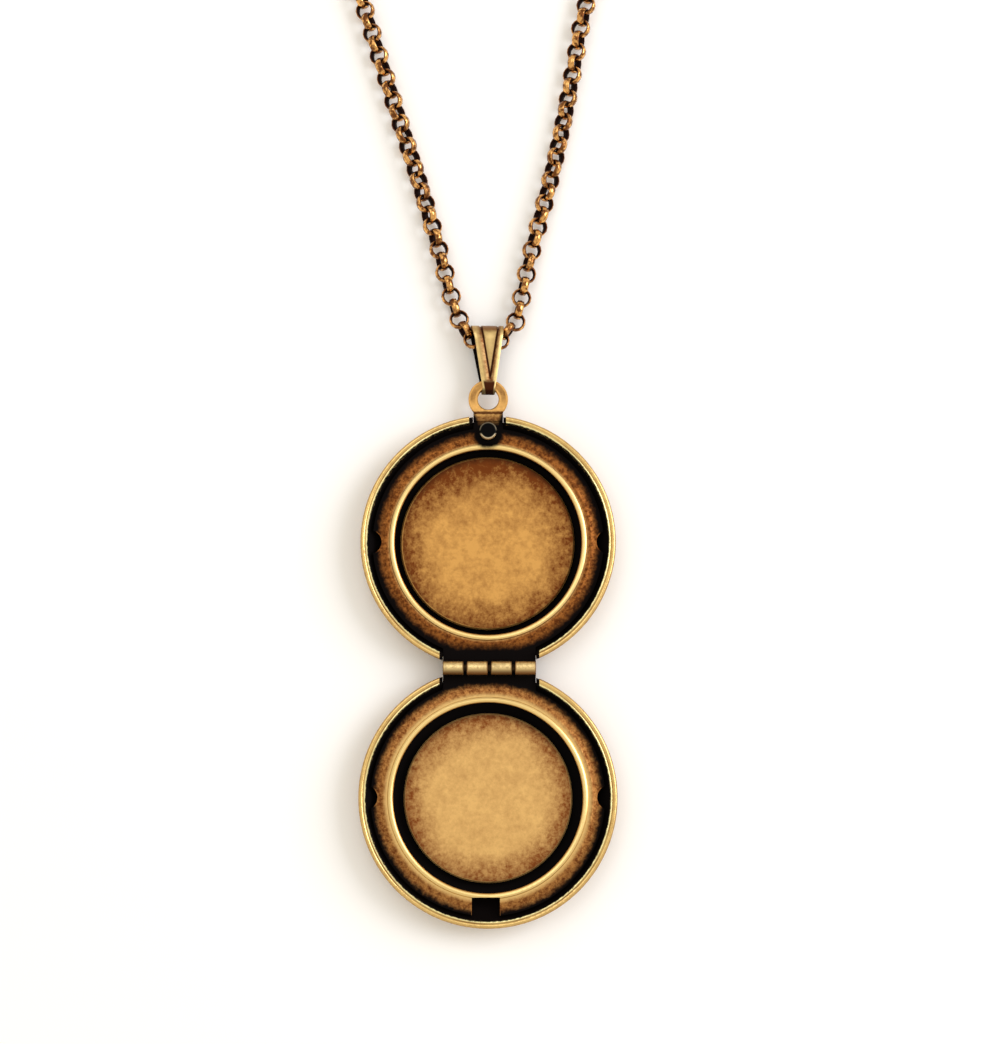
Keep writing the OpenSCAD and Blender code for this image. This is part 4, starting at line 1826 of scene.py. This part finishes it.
@dataclass
class RoloChain:
    """The whole chain of round belcher links, each a ring of D-shaped wire.

    Attributes:
        effects: The shared node groups.
        strap: The bail, which the links have to clear.
        route: The line that the links lie along.
        settling: How the links in the bail come to clear it.
        finish: Its finish.
        gold: Colour of the rubbed metal.
        outer_r: Outer radius of a link.
        thick: Thickness of its wire.
        width: Width of the wire's inner side.
        shoulder: Half the width of its outer side.
        ring_sides: Sides of a link.
        wire_sides: Sides of its wire.
        ridge: Share of the wire's radius beyond which a point is on its inner ridge.
        hollow_marks: Marks of the inner ridge and of the inner side beside it.
        pitch: Distance from link to link.
        flat_links: X and Y of the two links beside the bail that lie flat.
        links_in_bail: Number of steps from one of them to the other.
        left_lean: Distances from the left one, and how far the links lean there in degrees.
        right_lean: The same from the right one.
        blackening: Marks where the black inside the links begins, patina and painted shade.
        shade: Marks where the brown begins.
        film: Levels of the small patches where the brown film begins.
        film_share: Greatest share of that film.
    """

    effects: SharedEffects
    strap: Piece
    route: ChainRoute = field(default_factory=ChainRoute)
    settling: Settling = Settling()
    finish: AntiqueFinish = AntiqueFinish("chain copper brass", tarnish=paint(92, 42, 16),
                                          patina=paint(30, 11, 6), shine=0.17, dullness=0.45,
                                          grain=0.7, dents=0.4, seed=11.0)
    gold: Colour = paint(236, 176, 102)
    outer_r: float = 1.3
    thick: float = 0.4
    width: float = 0.94
    shoulder: float = 0.42
    ring_sides: int = 14
    wire_sides: int = 6
    ridge: float = 0.7
    hollow_marks: Pair = (1.0, 0.7)
    pitch: float = 1.6
    flat_links: tuple[Pair, Pair] = ((-3.78, 29.05), (3.5, 28.75))
    links_in_bail: int = 6
    left_lean: tuple[Pair, ...] = (
        (0.0, 88.0), (11.5, 68.0), (20.0, 47.0), (29.0, 35.0), (43.0, 22.0), (60.0, 18.0),
        (280.0, 0.0))
    right_lean: tuple[Pair, ...] = (
        (0.0, 88.0), (11.0, 66.0), (24.0, 45.0), (33.0, 30.0), (40.0, 20.0), (60.0, 18.0),
        (280.0, 0.0))
    # Patina and painted shade inside the links.
    blackening: Band = (0.35, 0.75)
    shade: Band = (0.0, 0.4)
    film: Band = (0.22, 0.75)
    film_share: float = 0.92

    @cached_property
    def flat_places(self) -> Pair:
        """Distances along the route of the two links that lie flat, in metres."""
        left, right = (self.route.nearest(x * MM, y * MM) for x, y in self.flat_links)
        return left, right

    def make(self) -> Piece:
        """Builds every link and joins them into one piece.

        Returns:
            The chain.
        """
        link = self.make_link()
        stations = self.stations()
        lies = [self.lie(index, distance) for index, distance in enumerate(stations)]
        left = self.flat_places[0]
        self.settle(link, lies, min(range(len(lies)), key=lambda k: abs(stations[k] - left)))
        copies = [link]
        for _ in lies[1:]:
            copy = link.copy()
            copy.data = link.data.copy()
            bpy.context.scene.collection.objects.link(copy)
            copies.append(copy)
        Bench.clear()
        for copy, lie in zip(copies, lies):
            copy.data.transform(lie)
            copy.select_set(True)
        bpy.context.view_layer.objects.active = link
        bpy.ops.object.join()
        piece = bpy.context.object
        piece.name = piece.data.name = "chain_links"
        LOG.info("%s has %d links along %.1f mm", piece.name, len(stations),
                 self.route.length / MM)
        wear(piece, self.finish.material(self.effects, self.zones))
        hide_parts("chain")
        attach(piece, Half.BACK.body)
        return piece

    def make_link(self) -> Piece:
        """Makes one link about the origin, its axis along Z: a torus whose wire is drawn wide.

        Returns:
            The link in metres, with its shade in the attribute hollow.
        """
        Bench.clear()
        radius = self.thick / 2
        middle = self.outer_r - radius
        bpy.ops.mesh.primitive_torus_add(
            major_segments=self.ring_sides, minor_segments=self.wire_sides,
            major_radius=middle, minor_radius=radius)
        piece = bpy.context.object
        high = radius * math.sin(2 * math.pi / self.wire_sides)
        Bench.pick(piece, Pick.POINTS, lambda point: abs(point.co.z) > high / 2)
        bpy.ops.transform.resize(value=(1.0, 1.0, self.shoulder / high),
                                 center_override=(0.0, 0.0, 0.0))
        Bench.pick(piece, Pick.POINTS, lambda point: abs(point.co.z) > high / 2
                   and math.hypot(point.co.x, point.co.y) < middle)
        bpy.ops.transform.resize(value=(1.0, 1.0, self.width / 2 / self.shoulder),
                                 center_override=(0.0, 0.0, 0.0))
        bpy.ops.object.mode_set(mode="OBJECT")
        hollow = piece.data.attributes.new("hollow", "FLOAT", "POINT")
        for index, point in enumerate(piece.data.vertices):
            out = math.hypot(point.co.x, point.co.y)
            if out < middle - radius * self.ridge:
                hollow.data[index].value = self.hollow_marks[0]
            elif out < middle:
                hollow.data[index].value = self.hollow_marks[1]
        Bench.to_metres(piece)
        bpy.ops.object.shade_smooth()
        return piece

    def stations(self) -> list[float]:
        """Spaces the links, so that two of them lie flat where they do beside the bail.

        Returns:
            The distance of each link along the route in metres.
        """
        left, right = self.flat_places

        def spread(start: float, end: float, count: int) -> list[float]:
            """Even stations after start, up to and with end."""
            return [start + (end - start) * (k + 1) / count for k in range(count)]

        def even(span: float) -> int:
            """Number of links in a span, made even so that the ends hang on the clasp upright."""
            return 2 * round(span / (self.pitch * MM) / 2)

        return [0.0, *spread(0.0, left, even(left)), *spread(left, right, self.links_in_bail),
                *spread(right, self.route.length, even(self.route.length - right))]

    def lean(self, distance: float) -> float:
        """Tells how far the even links' axis is turned about the chain there.

        Args:
            distance: Distance along the route in metres.

        Returns:
            The angle in radians, from the side towards up.
        """
        left, right = self.flat_places

        def read(knots: tuple[Pair, ...], reach: float) -> float:
            """Reads an angle between two knots.

            Args:
                knots: Distances in millimetres, each with its angle.
                reach: The distance.

            Returns:
                The angle in degrees.
            """
            for (x0, y0), (x1, y1) in zip(knots, knots[1:]):
                if reach <= x1:
                    share = (reach - x0) / (x1 - x0)
                    return y0 + (y1 - y0) * share
            return knots[-1][1]

        if distance <= left:
            return math.radians(180.0 - read(self.left_lean, (left - distance) / MM))
        if distance >= right:
            return math.radians(read(self.right_lean, (distance - right) / MM))
        share = (distance - left) / (right - left)
        return math.radians((180 - self.left_lean[0][1]) * (1 - share)
                            + self.right_lean[0][1] * share)

    def lie(self, index: int, distance: float) -> Matrix:
        """Works out how one link lies on the route.

        Args:
            index: Number of the link.
            distance: Its distance along the route.

        Returns:
            The matrix that takes the link from the origin to its place.
        """
        step = self.pitch * MM / 2
        ahead = (self.route.at(distance + step) - self.route.at(distance - step)).normalized()
        side = ahead.cross(Vector((0.0, 0.0, 1.0))).normalized()
        up = side.cross(ahead)
        angle = self.lean(distance) + (math.pi / 2 if index % 2 else 0.0)
        axis = side * math.cos(angle) + up * math.sin(angle)
        third = axis.cross(ahead)
        turn = Matrix((ahead, third, axis)).transposed().to_4x4()
        return Matrix.Translation(self.route.at(distance)) @ turn

    def settle(self, link: Piece, lies: list[Matrix], first: int) -> None:
        """Shifts the links in the bail a little until they clear the strap and each other.

        Args:
            link: The link at the origin.
            lies: How each link lies, changed here.
            first: Number of the link that lies flat on the bail's left.
        """
        rules = self.settling
        chance = random.Random(rules.seed)
        free = range(first, first + self.links_in_bail + 1)
        starts = [lie.copy() for lie in lies]
        points = [point.co.copy() for point in link.data.vertices]
        faces = [tuple(face.vertices) for face in link.data.polygons]
        strap = BVHTree.FromPolygons([point.co for point in self.strap.data.vertices],
                                     [tuple(face.vertices) for face in self.strap.data.polygons])

        def body(lie: Matrix) -> BVHTree:
            """The link's faces where it lies."""
            return BVHTree.FromPolygons([lie @ point for point in points], faces)

        bodies = {index: body(lies[index]) for index in range(free[0] - 2, free[-1] + 3)}

        def cost(index: int, lie: Matrix, shape: BVHTree) -> float:
            """Adds up what speaks against a place: cuts, slack or strain, shift and turn.

            Args:
                index: Number of the link.
                lie: How it lies.
                shape: Its faces there.

            Returns:
                The cost.
            """
            cuts = rules.strap_cost * len(shape.overlap(strap)) + sum(
                len(shape.overlap(bodies[index + past])) for past in (-2, -1, 1, 2))
            place = lie.translation
            gaps = [(place - lies[index + past].translation).length / MM for past in (-1, 1)]
            least, most = rules.spacing
            strain = sum(max(0.0, gap - most, least - gap) for gap in gaps)
            turn = lie.col[2].xyz.angle(starts[index].col[2].xyz)
            held = rules.end_hold if index in (free[0], free[-1]) else rules.hold
            return (cuts + rules.strain_cost * strain + held * turn
                    + held * (place - starts[index].translation).length / MM)

        for step in range(rules.moves):
            index = chance.choice(free)
            moved = lies[index] @ Matrix.Rotation(chance.gauss(0.0, rules.turn), 4, "X")
            moved.translation += Vector([chance.gauss(0.0, rules.shift) * MM for _ in range(3)])
            shape = body(moved)
            gain = cost(index, lies[index], bodies[index]) - cost(index, moved, shape)
            warmth = rules.cool + rules.warm * (1 - step / rules.moves) ** 2
            if gain > 0 or chance.random() < rules.chance * math.exp(gain / warmth):
                lies[index], bodies[index] = moved, shape
        LOG.info("links in the bail moved by %s mm", [
            round((lies[index].translation - starts[index].translation).length / MM, 2)
            for index in free])

    def zones(self, place: Place) -> Shading:
        """Shades the links: coppery gold outside with a brown film, brown at the inner sides and black
        inside, as patina and painted shade.

        Args:
            place: A place on the chain.

        Returns:
            The shading there.
        """
        graph = place.graph
        # The links' inner sides, where they lie in each other, carry patina and painted shade.
        mark = graph.node("Attribute", {"attribute_name": "hollow"}).outputs["Fac"]
        hollow = place.ragged(mark, 0.2, scale=1.5)
        film = graph.product(graph.step(place.fine, *self.film), self.film_share)
        return (self.gold, graph.highest(film, graph.step(hollow, *self.shade)),
                graph.step(hollow, *self.blackening))


@dataclass(frozen=True)
class Lamp:
    """A soft square lamp that faces the middle of the locket's upper half.

    Attributes:
        name: Its name.
        place: Its place in millimetres.
        size: Its side in millimetres.
        power: Its power in watts.
        tint: Its colour.
    """

    name: str
    place: Point
    size: float
    power: float
    tint: tuple[float, float, float] = (1.0, 1.04, 1.21)

    def make(self) -> None:
        """Adds the lamp to the scene."""
        light = bpy.data.lights.new(self.name, "AREA")
        light.shape = "SQUARE"
        light.size = self.size * MM
        light.energy = self.power
        light.color = self.tint
        lamp = bpy.data.objects.new(self.name, light)
        lamp.location = Vector(self.place) * MM
        lamp.rotation_euler = (-Vector(self.place)).to_track_quat("-Z", "Y").to_euler()
        bpy.context.scene.collection.objects.link(lamp)


@dataclass
class Studio:
    """White table, soft light from the right, and the camera of the photograph.

    Attributes:
        camera_place: Place of the camera in millimetres.
        tilt_deg: How far it leans from straight down.
        focal_share: Focal length as a share of the sensor's width.
        sensor: Width of the sensor in millimetres.
        clip: Nearest and farthest distance that the camera sees, in metres.
        sky: Strength of the even light from all sides.
        sky_tint: Its colour.
        floor_white: Display colour of the table.
        floor_size: Side of the table in metres.
        floor_drop: How far the table lies below the locket, in millimetres.
        lamps: The lamps.
    """

    camera_place: Point = (1.5, -39.37, 300.88)
    tilt_deg: float = 8.0
    focal_share: float = 2380 / 1044
    sensor: float = 36.0
    clip: Pair = (0.01, 20.0)
    sky: float = 0.82
    sky_tint: tuple[float, float, float] = (1.0, 0.96, 0.89)
    floor_white: tuple[int, int, int] = (254, 251, 243)
    floor_size: float = 6.0
    floor_drop: float = 0.02
    lamps: tuple[Lamp, ...] = (Lamp("window right", (520.0, 160.0, 420.0), 420.0, 2.3),
                               Lamp("card above", (-160.0, 320.0, 640.0), 500.0, 0.68))

    def make(self) -> None:
        """Makes the camera, the floor and the lights."""
        self.make_camera()
        self.make_floor()
        self.make_sky()
        for lamp in self.lamps:
            lamp.make()

    def make_camera(self) -> None:
        """Sets the camera where the photograph was taken from."""
        lens = bpy.data.cameras.new("camera")
        lens.sensor_width = self.sensor
        lens.lens = self.focal_share * self.sensor
        lens.clip_start, lens.clip_end = self.clip
        camera = bpy.data.objects.new("camera", lens)
        camera.location = Vector(self.camera_place) * MM
        camera.rotation_euler = (math.radians(self.tilt_deg), 0.0, 0.0)
        bpy.context.scene.collection.objects.link(camera)
        bpy.context.scene.camera = camera

    def make_floor(self) -> None:
        """Lays a wide plain floor just below the locket."""
        Bench.clear()
        bpy.ops.mesh.primitive_plane_add(size=self.floor_size,
                                         location=(0.0, 0.0, -self.floor_drop * MM))
        floor = bpy.context.object
        floor.name = "table_top"
        bpy.ops.object.transform_apply(location=True, rotation=True, scale=True)
        white = bpy.data.materials.new("white paper")
        white.use_nodes = True
        shader = white.node_tree.nodes["Principled BSDF"]
        shader.inputs["Base Color"].default_value = paint(*self.floor_white)
        shader.inputs["Roughness"].default_value = 0.95
        shader.inputs["Specular IOR Level"].default_value = 0.1
        wear(floor, white)

    def make_sky(self) -> None:
        """Surrounds the scene with even light."""
        world = bpy.data.worlds.new("white tent")
        world.use_nodes = True
        light = world.node_tree.nodes["Background"]
        light.inputs["Color"].default_value = (*self.sky_tint, 1.0)
        light.inputs["Strength"].default_value = self.sky
        bpy.context.scene.world = world
        bpy.context.scene.view_settings.view_transform = "Standard"


def main() -> None:
    """Builds and dresses the locket."""
    logging.basicConfig(level=logging.INFO, format="%(name)s: %(message)s")
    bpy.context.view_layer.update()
    Studio().make()
    effects = SharedEffects()
    for half in Half:
        Case(half, effects).dress()
    for kind in (CatchStud, HingePin, Clasp):
        kind(effects).dress()
    strap = Bail(effects).make()
    RoloChain(effects, strap).make()


if __name__ == "__main__":
    main()
